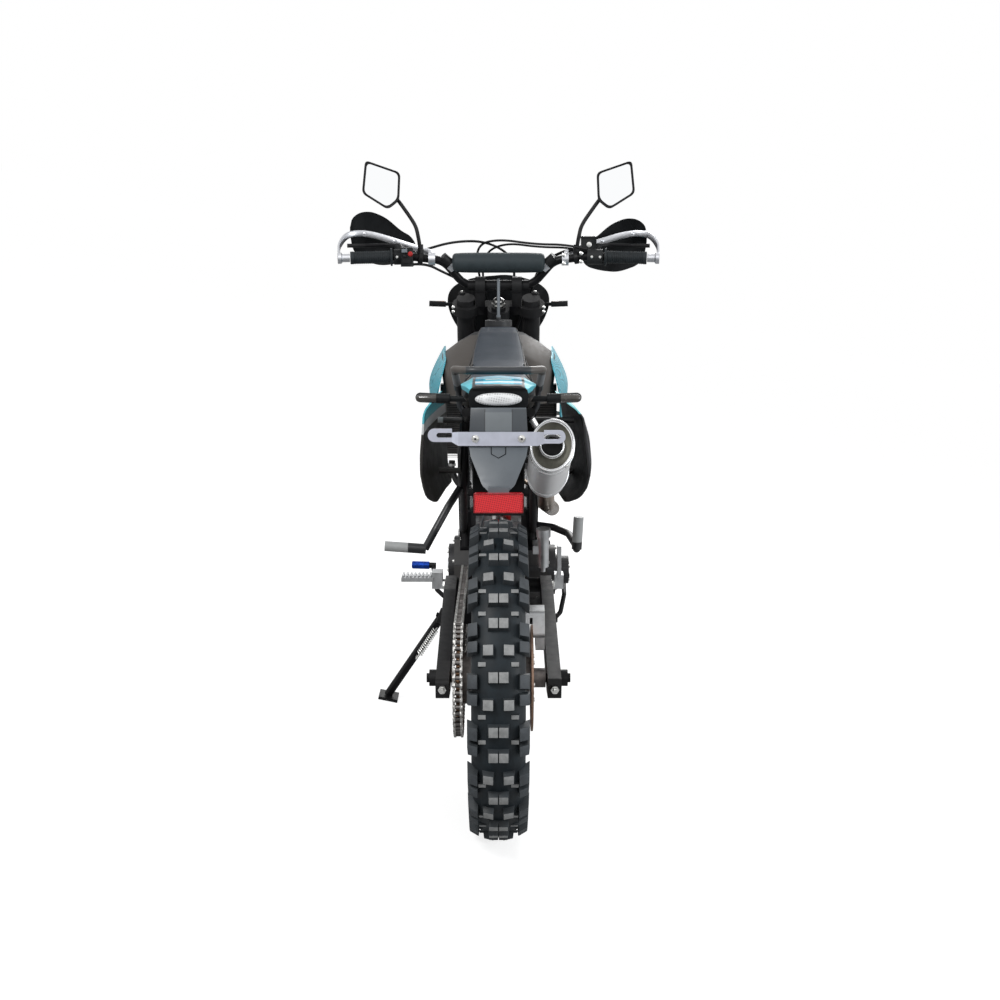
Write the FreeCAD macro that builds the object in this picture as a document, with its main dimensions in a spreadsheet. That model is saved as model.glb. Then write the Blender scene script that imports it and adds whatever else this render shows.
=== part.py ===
"""Dual sport motorcycle leaning on its side stand, built as separate pieces in millimetres.

Every piece is laid out upright in the bike frame: X to the rider's right, Y forward from the rear
axle, Z up from the ground. Its Placement then leans the whole bike to the left onto the stand and
puts the origin at the bottom centre of the outline.
"""
import FreeCAD, Part
import math
import os

import Sketcher
from FreeCAD import Placement, Rotation, Vector

SIZES = [
    ("lean_angle", 12, "lean to the left on the side stand, degrees"),
    ("wheelbase", 1420, "rear axle to front axle"),
    ("running_clearance", 0.3, "gap between a piece and the seat that carries it"),
    ("bearing_clearance", 0.05, "radial clearance of a turning shaft"),
    ("rear_tyre_radius", 345, "out to the tips of the centre knobs"),
    ("rear_tyre_width", 122, "out to the tips of the edge knobs"),
    ("rear_bead_radius", 228.6, "18 inch rim"),
    ("rear_rim_width", 86, "over the flanges"),
    ("front_tyre_radius", 352, "out to the tips of the centre knobs"),
    ("front_tyre_width", 90, "out to the tips of the edge knobs"),
    ("front_bead_radius", 266.7, "21 inch rim"),
    ("front_rim_width", 62, "over the flanges"),
    ("crown_half_flat", 19.5, "outer corner of the centre knobs, both tyres"),
    ("flange_height", 11, "rim flange above the bead seat"),
    ("rim_depth", 20, "bead seat to the inside of the rim"),
    ("spoke_count", 36, "each wheel"),
    ("spoke_radius", 2, ""),
    ("axle_radius", 10, "both hollow axles"),
    ("axle_bore_radius", 6.5, ""),
    ("rear_hub_radius", 34, ""),
    ("front_hub_radius", 26, ""),
    ("hub_flange_radius", 52, "circle that carries the spokes"),
    ("rear_disc_radius", 115, ""),
    ("front_disc_radius", 125, ""),
    ("disc_thickness", 4.5, ""),
    ("rear_disc_place", 72, "centre plane, to the right"),
    ("front_disc_place", 50, "centre plane, to the left"),
    ("disc_bolt_circle", 48, "radius of the bolts"),
    ("chain_pitch", 15.875, ""),
    ("rear_teeth", 48, ""),
    ("front_teeth", 14, ""),
    ("chain_place", 86, "centre plane, to the left"),
    ("chain_width", 22, "over the side plates"),
    ("chain_gap", 10, "between the inner side plates"),
    ("chain_height", 15, "height of the side plates"),
    ("roller_radius", 5.1, ""),
    ("sprocket_thickness", 7, ""),
    ("front_sprocket_y", 655, ""),
    ("front_sprocket_z", 395, ""),
    ("swing_pivot_y", 575, ""),
    ("swing_pivot_z", 405, ""),
    ("swing_arm_inside", 105, "inner face of each arm"),
    ("swing_arm_width", 29, ""),
    ("rake_angle", 27, "steering axis from upright, degrees"),
    ("yoke_offset", 28, "fork tubes ahead of the steering axis"),
    ("axle_lead", 32, "front axle ahead of the fork tubes"),
    ("fork_spacing", 180, "between the fork tubes"),
    ("fork_tube_radius", 25, "outer tubes"),
    ("fork_slider_radius", 22, "inner tubes"),
    ("fork_tube_low", 400, "bottom of the outer tubes along the steering axis"),
    ("fork_tube_rise", 44, "top of the outer tubes above the head tube"),
    ("head_low", 668, "bottom of the head tube along the steering axis"),
    ("head_high", 822, ""),
    ("head_tube_radius", 27, ""),
    ("stem_radius", 15, ""),
    ("top_yoke_thickness", 26, ""),
    ("low_yoke_thickness", 32, ""),
    ("bar_radius", 11.1, ""),
    ("bar_centre_radius", 14.3, "the thick middle of the handlebar"),
    ("grip_radius", 17, ""),
    ("bar_half_width", 398, "out to the ends of the grips"),
    ("grip_length", 112, ""),
    ("bar_rise", 81, "middle of the bar above the head tube, along the steering axis"),
    ("bar_lead", 32, "middle of the bar ahead of the steering axis"),
    ("pad_radius", 27, ""),
    ("pad_length", 264, ""),
    ("hose_radius", 4, "vent hose of the fuel cap"),
    ("muffler_half_width", 45, ""),
    ("muffler_half_height", 54, ""),
    ("muffler_length", 300, ""),
    ("muffler_tilt", 21, "degrees"),
    ("muffler_cone", 55, "length of the cone ahead of the can"),
    ("outlet_radius", 22, ""),
    ("pipe_radius", 19, "exhaust pipe"),
    ("panel_thickness", 3.5, "plastic panels"),
    ("frame_tube_radius", 15, ""),
    ("subframe_radius", 9.5, ""),
    ("cradle_radius", 12, ""),
    ("rail_radius", 8, "grab rail"),
    ("seat_nose_half_width", 46, ""),
    ("seat_half_width", 82, ""),
    ("stand_radius", 11, "leg of the side stand"),
    ("stand_eye_half", 12, "half width of its eye"),
    ("stand_pivot_x", -144, ""),
    ("stand_pivot_y", 610, ""),
    ("stand_pivot_z", 312, ""),
    ("stand_axis_tilt", 20, "pivot axis below level at its inner end, degrees"),
    ("stand_foot_y", 712, ""),
    ("stand_foot_x", -296, ""),
    ("stand_foot_half", 26, "half length of the foot plate"),
    ("plate_slot_spacing", 208, "between the slots of the plate bracket"),
    ("plate_slot_length", 32, ""),
    ("plate_slot_width", 9.6, ""),
    ("reflector_width", 95, ""),
    ("reflector_height", 38, ""),
]

doc = FreeCAD.newDocument("DualSportMotorcycle")
sheet = doc.addObject("Spreadsheet::Sheet", "Sizes")
for row, (alias, value, note) in enumerate(SIZES, start=1):
    sheet.set(f"A{row}", alias)
    sheet.set(f"B{row}", str(value))
    sheet.set(f"C{row}", note)
    sheet.setAlias(f"B{row}", alias)
doc.recompute()


class SheetSizes:
    """The sheet's cells as attributes."""

    def __getattr__(self, alias):
        return float(sheet.get(alias))


size = SheetSizes()
X_AXIS = Vector(1, 0, 0)
Y_AXIS = Vector(0, 1, 0)
Z_AXIS = Vector(0, 0, 1)
PIECES = []


# Steering geometry

RAKE = math.radians(size.rake_angle)
STEER_UP = Vector(0, -math.sin(RAKE), math.cos(RAKE))
STEER_FORWARD = Vector(0, math.cos(RAKE), math.sin(RAKE))
REAR_AXLE = Vector(0, 0, size.rear_tyre_radius)
FRONT_AXLE = Vector(0, size.wheelbase, size.front_tyre_radius)
STEER_BASE = FRONT_AXLE - STEER_FORWARD * (size.yoke_offset + size.axle_lead)
STEER_PLACE = Placement(STEER_BASE, Rotation(X_AXIS, size.rake_angle))


DRAWN_WHEELBASE = 1420
DRAWN_HEAD_HIGH = 822
DRAWN_GRIP_START = 286
NOSE_SHIFT = Vector(0, size.wheelbase - DRAWN_WHEELBASE, 0)
BAR_SHIFT = NOSE_SHIFT + STEER_UP * (size.head_high - DRAWN_HEAD_HIGH)
GRIP_START = size.bar_half_width - size.grip_length
BAR_UP = size.head_high + size.bar_rise


def steered(x, forward, up):
    """Point of the steering assembly, from its distance ahead of and along the steering axis."""
    return STEER_BASE + STEER_FORWARD * forward + STEER_UP * up + X_AXIS * x


def on_bar(x, forward, up):
    """Point near the handlebar: x follows the bar's width, up starts at the middle of the bar."""
    return steered(x * GRIP_START / DRAWN_GRIP_START, forward, BAR_UP + up)


# Helpers for shapes

def rod(start, end, radius, bore=0):
    """Round bar between two points, hollow where a bore is given."""
    start, end = Vector(start), Vector(end)
    solid = Part.makeCylinder(radius, (end - start).Length, start, end - start)
    if bore:
        solid = solid.cut(Part.makeCylinder(bore, (end - start).Length + 2,
                                            start - (end - start).normalize(), end - start))
    return solid


def block(low, high):
    """Box between two corners."""
    low, high = Vector(low), Vector(high)
    return Part.makeBox(high.x - low.x, high.y - low.y, high.z - low.z, low)


def rounded_face(points, radius=0):
    """Flat face on an outline whose corners are rounded by arcs."""
    points = [Vector(p) for p in points]
    if not radius:
        return Part.Face(Part.makePolygon(points + points[:1]))
    edges = []
    joints = []
    count = len(points)
    for i, corner in enumerate(points):
        back = points[i - 1] - corner
        ahead = points[(i + 1) % count] - corner
        turn = math.pi - back.getAngle(ahead)
        reach = radius * math.tan(turn / 2)
        reach = min(reach, 0.45 * back.Length, 0.45 * ahead.Length)
        real = reach / math.tan(turn / 2)
        back.normalize()
        ahead.normalize()
        middle = corner + (back + ahead).normalize() * (real / math.cos(turn / 2) - real)
        joints.append((corner + back * reach, middle, corner + ahead * reach))
    for i, (start, middle, end) in enumerate(joints):
        edges.append(Part.Arc(start, middle, end).toShape())
        edges.append(Part.LineSegment(end, joints[(i + 1) % count][0]).toShape())
    return Part.Face(Part.Wire(edges))


def side_plate(outline, x_low, x_high, radius=0):
    """Plate across the bike on an outline of (y, z) points."""
    face = rounded_face([(x_low, y, z) for y, z in outline], radius)
    return face.extrude(Vector(x_high - x_low, 0, 0))


def cross_plate(outline, y_low, y_high, radius=0):
    """Plate along the bike on an outline of (x, z) points."""
    face = rounded_face([(x, y_low, z) for x, z in outline], radius)
    return face.extrude(Vector(0, y_high - y_low, 0))


def flat_plate(outline, z_low, z_high, radius=0):
    """Level plate on an outline of (x, y) points."""
    face = rounded_face([(x, y, z_low) for x, y in outline], radius)
    return face.extrude(Vector(0, 0, z_high - z_low))


def route(points, bend_radius=0):
    """Path of straight runs joined by tangent arcs, and the radii of its arcs."""
    points = [Vector(p) for p in points]
    edges = []
    radii = []
    start = points[0]
    for i in range(1, len(points) - 1):
        corner = points[i]
        back = points[i - 1] - corner
        ahead = points[i + 1] - corner
        turn = math.pi - back.getAngle(ahead)
        reach = 0.45 * min(back.Length, ahead.Length)
        if bend_radius:
            reach = min(reach, bend_radius * math.tan(turn / 2))
        real = reach / math.tan(turn / 2)
        back.normalize()
        ahead.normalize()
        middle = corner + (back + ahead).normalize() * (real / math.cos(turn / 2) - real)
        edges.append(Part.LineSegment(start, corner + back * reach).toShape())
        edges.append(Part.Arc(corner + back * reach, middle, corner + ahead * reach).toShape())
        start = corner + ahead * reach
        radii.append(real)
    edges.append(Part.LineSegment(start, points[-1]).toShape())
    return Part.Wire(edges), radii


def bent_tube(points, radius, bend_radius=0):
    """Round bar along a route."""
    path, radii = route(points, bend_radius)
    start = Vector(points[0])
    ring = Part.Wire(Part.makeCircle(radius, start, Vector(points[1]) - start))
    return path.makePipeShell([ring], True, False)


def mirrored(shape):
    """The same shape on the other side of the bike's middle plane."""
    return shape.mirror(Vector(0, 0, 0), X_AXIS)


def pair(shape):
    """A shape and its mirror image, as solids that don't touch."""
    return Part.makeCompound([shape, mirrored(shape)])


def skin(sections, smooth=True):
    """Solid through closed sections, each a half outline (x, y, z) from its top to its bottom centre."""
    wires = []
    for section in sections:
        half = [Vector(p) for p in section]
        other = [Vector(-p.x, p.y, p.z) for p in reversed(half[1:-1])]
        spline = Part.BSplineCurve()
        spline.interpolate(half + other, PeriodicFlag=True)
        wires.append(Part.Wire(spline.toShape()))
    return Part.makeLoft(wires, True, not smooth)


def fused(shapes):
    """One solid from shapes that overlap."""
    shapes = list(shapes)
    return shapes[0].fuse(shapes[1:]).removeSplitter()


def shifted(shape, by):
    """Copy of a shape that follows the steering head where a size moves it."""
    copy = shape.copy()
    copy.translate(by)
    return copy


def turned(shape, centre, axis, angle):
    """Copy of a shape turned about an axis."""
    copy = shape.copy()
    copy.rotate(Vector(centre), axis, angle)
    return copy


# Helpers for document objects

def add_piece(label, shape):
    """Sub-part whose shape is laid out in the bike frame."""
    feature = doc.addObject("Part::Feature", label)
    feature.Label = label
    feature.Shape = shape
    PIECES.append((feature, Placement()))
    return feature


def start_body(label, place):
    """Sub-part made of sketches and features, at its place in the bike frame."""
    body = doc.addObject("PartDesign::Body", label)
    body.Label = label
    PIECES.append((body, place))
    return body


def origin_plane(body, role):
    return [feature for feature in body.Origin.OriginFeatures if feature.Role == role][0]


def outline_sketch(body, name, role, points):
    """Sketch of straight lines whose corners are held by values or by expressions on the sheet."""
    sketch = body.newObject("Sketcher::SketchObject", name)
    sketch.AttachmentSupport = [(origin_plane(body, role), "")]
    sketch.MapMode = "FlatFace"
    corners = []
    for place in points:
        corners.append([float(sketch.evalExpression(p)) if isinstance(p, str) else float(p)
                        for p in place])
    for i, (across, up) in enumerate(corners):
        ahead = corners[(i + 1) % len(corners)]
        sketch.addGeometry(Part.LineSegment(Vector(across, up, 0), Vector(ahead[0], ahead[1], 0)), False)
    for i in range(len(corners)):
        sketch.addConstraint(Sketcher.Constraint("Coincident", i, 2, (i + 1) % len(corners), 1))
    for i, place in enumerate(points):
        for kind, term, value in zip(("DistanceX", "DistanceY"), place, corners[i]):
            number = sketch.addConstraint(Sketcher.Constraint(kind, -1, 1, i, 1, value))
            if isinstance(term, str):
                sketch.setExpression(f"Constraints[{number}]", term)
    return sketch


def circle_sketch(body, name, role, circles):
    """Sketch of circles, each with its centre and an expression for its radius."""
    sketch = body.newObject("Sketcher::SketchObject", name)
    sketch.AttachmentSupport = [(origin_plane(body, role), "")]
    sketch.MapMode = "FlatFace"
    for i, (across, up, radius) in enumerate(circles):
        values = [float(sketch.evalExpression(str(term))) for term in (across, up, radius)]
        sketch.addGeometry(Part.Circle(Vector(values[0], values[1], 0), Z_AXIS, values[2]), False)
        terms = (("DistanceX", across), ("DistanceY", up))
        for (kind, term), value in zip(terms, values):
            number = sketch.addConstraint(Sketcher.Constraint(kind, -1, 1, i, 3, value))
            if isinstance(term, str):
                sketch.setExpression(f"Constraints[{number}]", term)
        number = sketch.addConstraint(Sketcher.Constraint("Radius", i, values[2]))
        if isinstance(radius, str):
            sketch.setExpression(f"Constraints[{number}]", radius)
    return sketch


def revolve(body, name, points):
    """Solid of revolution about the body's X axis, from (x, radius) corners."""
    sketch = outline_sketch(body, name + "_profile", "XY_Plane", points)
    feature = body.newObject("PartDesign::Revolution", name)
    feature.Profile = sketch
    feature.ReferenceAxis = (sketch, ["H_Axis"])
    feature.Angle = 360
    sketch.Visibility = False
    return feature


def pad(body, sketch, name, length, middle=True):
    feature = body.newObject("PartDesign::Pad", name)
    feature.Profile = sketch
    feature.Midplane = middle
    if isinstance(length, str):
        feature.setExpression("Length", length)
    else:
        feature.Length = length
    return feature


# Wheels

def make_tyre(end, place):
    """Tyre out to the tips of its knobs, seated on the rim."""
    radius = f"Sizes.{end}_tyre_radius"
    width = f"Sizes.{end}_tyre_width"
    bead = f"Sizes.{end}_bead_radius + Sizes.running_clearance"
    flange = f"Sizes.{end}_bead_radius + Sizes.flange_height"
    seat = f"Sizes.{end}_rim_width / 2 - 4 - Sizes.running_clearance"
    outside = f"Sizes.{end}_rim_width / 2"
    body = start_body(f"{end}_tyre", place)
    half = [
        (seat, bead),
        (seat, f"{flange} + 1"),
        (outside, f"{flange} + 3"),
        (f"{width} / 2 - 6", f"{flange} + 28"),
        (f"{width} / 2", f"{radius} - {width} * 0.25"),
        (f"{width} / 2", f"{radius} - {width} * 0.16"),
        (f"{width} * 0.33", f"{radius} - {width} * 0.065"),
        ("Sizes.crown_half_flat", radius),
    ]
    other = [(f"-({x})", r) for x, r in reversed(half)]
    revolve(body, f"{end}_tyre_ring", half + other)
    return body


def make_rim(end, place):
    """Spoked rim with a bead seat, two flanges and a drop centre."""
    half_width = f"Sizes.{end}_rim_width / 2"
    seat = f"Sizes.{end}_bead_radius"
    inside = f"{seat} - Sizes.rim_depth"
    body = start_body(f"{end}_rim", place)
    half = [
        (f"{half_width} - 4", f"{seat} + Sizes.flange_height"),
        (half_width, f"{seat} + Sizes.flange_height"),
        (half_width, f"{seat} - 4"),
        (f"{half_width} * 0.42", f"{inside} + 2"),
        (f"{half_width} * 0.3", inside),
    ]
    inner = [
        (f"{half_width} * 0.3", f"{seat} - 13"),
        (f"{half_width} * 0.42", f"{seat} - 2"),
        (f"{half_width} - 4", seat),
    ]
    points = [(f"-({x})", r) for x, r in half]
    points += list(reversed(half))
    points += [(x, r) for x, r in reversed(inner)]
    points += [(f"-({x})", r) for x, r in inner]
    revolve(body, f"{end}_rim_ring", points)
    return body


def make_hub(end, place, half_length, left, right, bearing_radius):
    """Hub with two spoke flanges, its spokes, and a face for the disc on the disc's side."""
    bore = size.axle_radius + size.bearing_clearance
    shell = rod((-half_length, 0, 0), (half_length, 0, 0), bearing_radius * 0.62)
    shell = shell.fuse(rod((left, 0, 0), (right, 0, 0), bearing_radius))
    flange = size.hub_flange_radius
    for x in (left, right):
        inward = 6 if x == left else -6
        shell = shell.fuse(rod((x, 0, 0), (x + inward, 0, 0), flange))
    shell = shell.cut(rod((-half_length - 1, 0, 0), (half_length + 1, 0, 0), bore))
    outer = getattr(size, f"{end}_bead_radius") - size.rim_depth - 2 * size.running_clearance
    count = int(size.spoke_count)
    spokes = []
    for i in range(count):
        side = left + 3 if i % 2 else right - 3
        swing = 34 if (i // 2) % 2 else -34
        angle = math.radians(360 * i / count)
        base = math.radians(360 * i / count + swing)
        start = Vector(side, (flange - 5) * math.cos(base), (flange - 5) * math.sin(base))
        stop = Vector(side * 0.12, outer * math.cos(angle), outer * math.sin(angle))
        spokes.append(rod(start, stop, size.spoke_radius))
    solid = shell.fuse(spokes)
    solid.translate(place.Base)
    return solid


def make_disc(end, place, bolts=6):
    """Brake disc with its carrier ring, slots cut as round holes."""
    body = start_body(f"{end}_disc", place)
    outer = f"Sizes.{end}_disc_radius"
    inner = f"Sizes.{end}_hub_radius + 1"
    sketch = circle_sketch(body, f"{end}_disc_rings", "YZ_Plane", [(0.0, 0.0, outer), (0.0, 0.0, inner)])
    pad(body, sketch, f"{end}_disc_plate", "Sizes.disc_thickness")
    doc.recompute()
    window = circle_sketch(body, f"{end}_disc_window", "YZ_Plane", [(0.0, f"{outer} * 0.66", 11.0)])
    cut = body.newObject("PartDesign::Pocket", f"{end}_disc_hole")
    cut.Profile = window
    cut.Type = 1
    cut.Midplane = True
    pattern = body.newObject("PartDesign::PolarPattern", f"{end}_disc_holes")
    pattern.Originals = [cut]
    pattern.Axis = (window, ["N_Axis"])
    pattern.Angle = 360
    pattern.Occurrences = bolts * 2
    body.Tip = pattern
    return body


REAR_WHEEL = Placement(REAR_AXLE, Rotation())
FRONT_WHEEL = Placement(FRONT_AXLE, Rotation())


def make_wheels():
    make_tyre("rear", REAR_WHEEL)
    make_rim("rear", REAR_WHEEL)
    left = -(size.chain_place - size.sprocket_thickness / 2)
    right = size.rear_disc_place - size.disc_thickness / 2
    reach = size.swing_arm_inside - 3
    hub = make_hub("rear", REAR_WHEEL, reach, -34, 34, size.rear_hub_radius)
    seats = []
    for face, inner in ((left, -34), (right, 34)):
        seat = rod((face, 0, 0), (inner, 0, 0), size.hub_flange_radius + 4, size.rear_hub_radius - 2)
        seat.translate(REAR_AXLE)
        seats.append(seat)
    add_piece("rear_hub", fused([hub] + seats))
    make_disc("rear", Placement(REAR_AXLE + X_AXIS * size.rear_disc_place, Rotation()))
    add_piece("rear_sprocket", rear_sprocket())
    make_tyre("front", FRONT_WHEEL)
    make_rim("front", FRONT_WHEEL)
    reach = size.fork_spacing / 2 - 24
    hub = make_hub("front", FRONT_WHEEL, reach, -32, 32, size.front_hub_radius)
    seat = rod((-size.front_disc_place + size.disc_thickness / 2, 0, 0), (-32, 0, 0),
               size.hub_flange_radius + 4, size.front_hub_radius - 2)
    seat.translate(FRONT_AXLE)
    add_piece("front_hub", fused([hub, seat]))
    make_disc("front", Placement(FRONT_AXLE - X_AXIS * size.front_disc_place, Rotation()))


# Final drive

def pitch_radius(teeth):
    return size.chain_pitch / (2 * math.sin(math.pi / teeth))


def rear_sprocket():
    """Rear sprocket whose teeth end just inside the rollers of the fixed chain."""
    teeth = int(size.rear_teeth)
    tip = pitch_radius(teeth) - size.roller_radius - size.running_clearance
    root = tip - 5
    points = []
    for i in range(teeth):
        for share, radius in ((-0.28, root), (-0.1, tip), (0.1, tip), (0.28, root)):
            angle = 2 * math.pi * (i + share) / teeth
            points.append((0, radius * math.cos(angle), radius * math.sin(angle)))
    x_low = -size.chain_place - size.sprocket_thickness / 2
    plate = rounded_face(points).extrude(Vector(size.sprocket_thickness, 0, 0))
    plate.translate(Vector(x_low, 0, 0))
    holes = [rod((x_low - 1, 0, 0), (x_low + size.sprocket_thickness + 1, 0, 0), size.rear_hub_radius)]
    for i in range(6):
        angle = 2 * math.pi * i / 6
        centre = Vector(x_low - 1, 82 * math.cos(angle), 82 * math.sin(angle))
        holes.append(Part.makeCylinder(17, size.sprocket_thickness + 2, centre, X_AXIS))
    plate = plate.cut(holes)
    plate.translate(REAR_AXLE)
    return plate


def chain_line():
    """Centre line of the chain: two straight runs and an arc round each sprocket."""
    rear = Vector(0, REAR_AXLE.y, REAR_AXLE.z)
    front = Vector(0, size.front_sprocket_y, size.front_sprocket_z)
    big = pitch_radius(size.rear_teeth)
    small = pitch_radius(size.front_teeth)
    centre_angle = math.atan2(front.z - rear.z, front.y - rear.y)
    spread = math.acos((big - small) / (front - rear).Length)
    return rear, front, big, small, centre_angle + spread, centre_angle - spread


def chain_band(offset, x_low, x_high):
    """Closed strip inside the chain's outline grown by an offset."""
    rear, front, big, small, top, bottom = chain_line()

    def at(centre, radius, angle):
        return Vector(x_low, centre.y + radius * math.cos(angle), centre.z + radius * math.sin(angle))

    big += offset
    small += offset
    edges = [
        Part.LineSegment(at(rear, big, top), at(front, small, top)).toShape(),
        Part.Arc(at(front, small, top), at(front, small, (top + bottom) / 2), at(front, small, bottom)).toShape(),
        Part.LineSegment(at(front, small, bottom), at(rear, big, bottom)).toShape(),
        Part.Arc(at(rear, big, bottom), at(rear, big, (top + bottom) / 2 + math.pi), at(rear, big, top)).toShape(),
    ]
    return Part.Face(Part.Wire(edges)).extrude(Vector(x_high - x_low, 0, 0))


def chain_points(count):
    """Places of rollers, evenly spaced along the chain's centre line."""
    rear, front, big, small, top, bottom = chain_line()
    run = math.sqrt((front - rear).Length ** 2 - (big - small) ** 2)
    lengths = [run, small * (top - bottom), run, big * (2 * math.pi - (top - bottom))]
    total = sum(lengths)
    places = []
    for i in range(count):
        way = total * i / count
        part = 0
        while way > lengths[part]:
            way -= lengths[part]
            part += 1
        share = way / lengths[part]
        if part == 0:
            start = (rear.y + big * math.cos(top), rear.z + big * math.sin(top))
            end = (front.y + small * math.cos(top), front.z + small * math.sin(top))
        elif part == 2:
            start = (front.y + small * math.cos(bottom), front.z + small * math.sin(bottom))
            end = (rear.y + big * math.cos(bottom), rear.z + big * math.sin(bottom))
        if part in (0, 2):
            places.append((start[0] + (end[0] - start[0]) * share, start[1] + (end[1] - start[1]) * share))
        elif part == 1:
            angle = top - (top - bottom) * share
            places.append((front.y + small * math.cos(angle), front.z + small * math.sin(angle)))
        else:
            angle = bottom - (2 * math.pi - (top - bottom)) * share
            places.append((rear.y + big * math.cos(angle), rear.z + big * math.sin(angle)))
    return places


def make_chain():
    """Side plates on both sides of the sprocket, joined by rollers."""
    half = size.chain_width / 2
    gap = size.chain_gap / 2
    plates = []
    for low, high in ((-half, -gap), (gap, half)):
        low -= size.chain_place
        high -= size.chain_place
        ring = chain_band(size.chain_height / 2, low, high)
        plates.append(ring.cut(chain_band(-size.chain_height / 2, low - 1, high + 1)))
    rollers = []
    for y, z in chain_points(36):
        rollers.append(rod((-size.chain_place - gap - 1, y, z), (-size.chain_place + gap + 1, y, z),
                           size.roller_radius))
    add_piece("chain", fused(plates + rollers))


def make_rear_axle():
    """Hollow axle with a nut at each end, outside the adjuster blocks."""
    body = start_body("rear_axle", REAR_WHEEL)
    outside = "(Sizes.swing_arm_inside + Sizes.swing_arm_width)"
    revolve(body, "rear_axle_rod", [
        (f"-{outside} - 22", "Sizes.axle_bore_radius"),
        (f"{outside} + 22", "Sizes.axle_bore_radius"),
        (f"{outside} + 22", "Sizes.axle_radius"),
        (f"{outside} + 16", "Sizes.axle_radius"),
        (f"{outside} + 16", "Sizes.axle_radius + 8"),
        (f"{outside} + Sizes.running_clearance", "Sizes.axle_radius + 8"),
        (f"{outside} + Sizes.running_clearance", "Sizes.axle_radius"),
        (f"-{outside} - Sizes.running_clearance", "Sizes.axle_radius"),
        (f"-{outside} - Sizes.running_clearance", "Sizes.axle_radius + 8"),
        (f"-{outside} - 16", "Sizes.axle_radius + 8"),
        (f"-{outside} - 16", "Sizes.axle_radius"),
        (f"-{outside} - 22", "Sizes.axle_radius"),
    ])


def make_swingarm():
    """Two box arms joined by a cross member ahead of the tyre, pivoting on the frame plates."""
    pivot_y, pivot_z = size.swing_pivot_y, size.swing_pivot_z
    axle_z = REAR_AXLE.z
    inside = size.swing_arm_inside
    outside = inside + size.swing_arm_width
    outline = [(-72, axle_z - 24), (-78, axle_z + 18), (20, axle_z + 32), (pivot_y - 150, pivot_z + 28),
               (pivot_y, pivot_z + 26), (pivot_y + 28, pivot_z), (pivot_y, pivot_z - 26),
               (pivot_y - 140, pivot_z - 42), (20, axle_z - 36)]
    pieces = []
    for side in (-1, 1):
        low, high = sorted((side * inside, side * outside))
        pieces.append(side_plate(outline, low, high, 12))
        boss_in = 73 if side > 0 else 99.5
        pieces.append(rod((side * boss_in, pivot_y, pivot_z), (side * (inside + 1), pivot_y, pivot_z), 20))
    cross = side_plate([(385, 352), (385, 402), (445, 410), (445, 360)], -inside - 1, inside + 1, 8)
    arm = fused(pieces + [cross])
    holes = [rod((-outside - 1, 0, axle_z), (outside + 1, 0, axle_z), size.axle_radius + size.bearing_clearance),
             rod((-outside - 1, pivot_y, pivot_z), (outside + 1, pivot_y, pivot_z), 9 + size.bearing_clearance)]
    swingarm = arm.cut(holes)
    add_piece("swingarm", swingarm)
    return swingarm


# Frame and engine

PEG_X, PEG_Y, PEG_Z = 142.7, 614, 402
PEDAL_X, PEDAL_Y, PEDAL_Z = 141, 640, 300


def stand_pivot():
    """Pivot of the side stand and its axis, tilted so that the leg folds in against the bike."""
    tilt = math.radians(size.stand_axis_tilt)
    pivot = Vector(size.stand_pivot_x, size.stand_pivot_y, size.stand_pivot_z)
    return pivot, Vector(math.cos(tilt), 0, -math.sin(tilt))


HEAD_LOW = steered(0, 0, size.head_low)
HEAD_HIGH = steered(0, 0, size.head_high)


def frame_beams(radius):
    """The two beams from the head tube down to the pivot plates."""
    head = steered(0, 0, size.head_low + 50)
    beams = []
    for side in (-1, 1):
        beams.append(bent_tube([(side * 8, head.y - 12, head.z), (side * 30, 960, 930), (side * 82, 850, 850),
                                (side * 92, 700, 730), (side * 86, 612, 560), (side * 84, 604, 500)],
                               radius, 90))
    return beams


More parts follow.
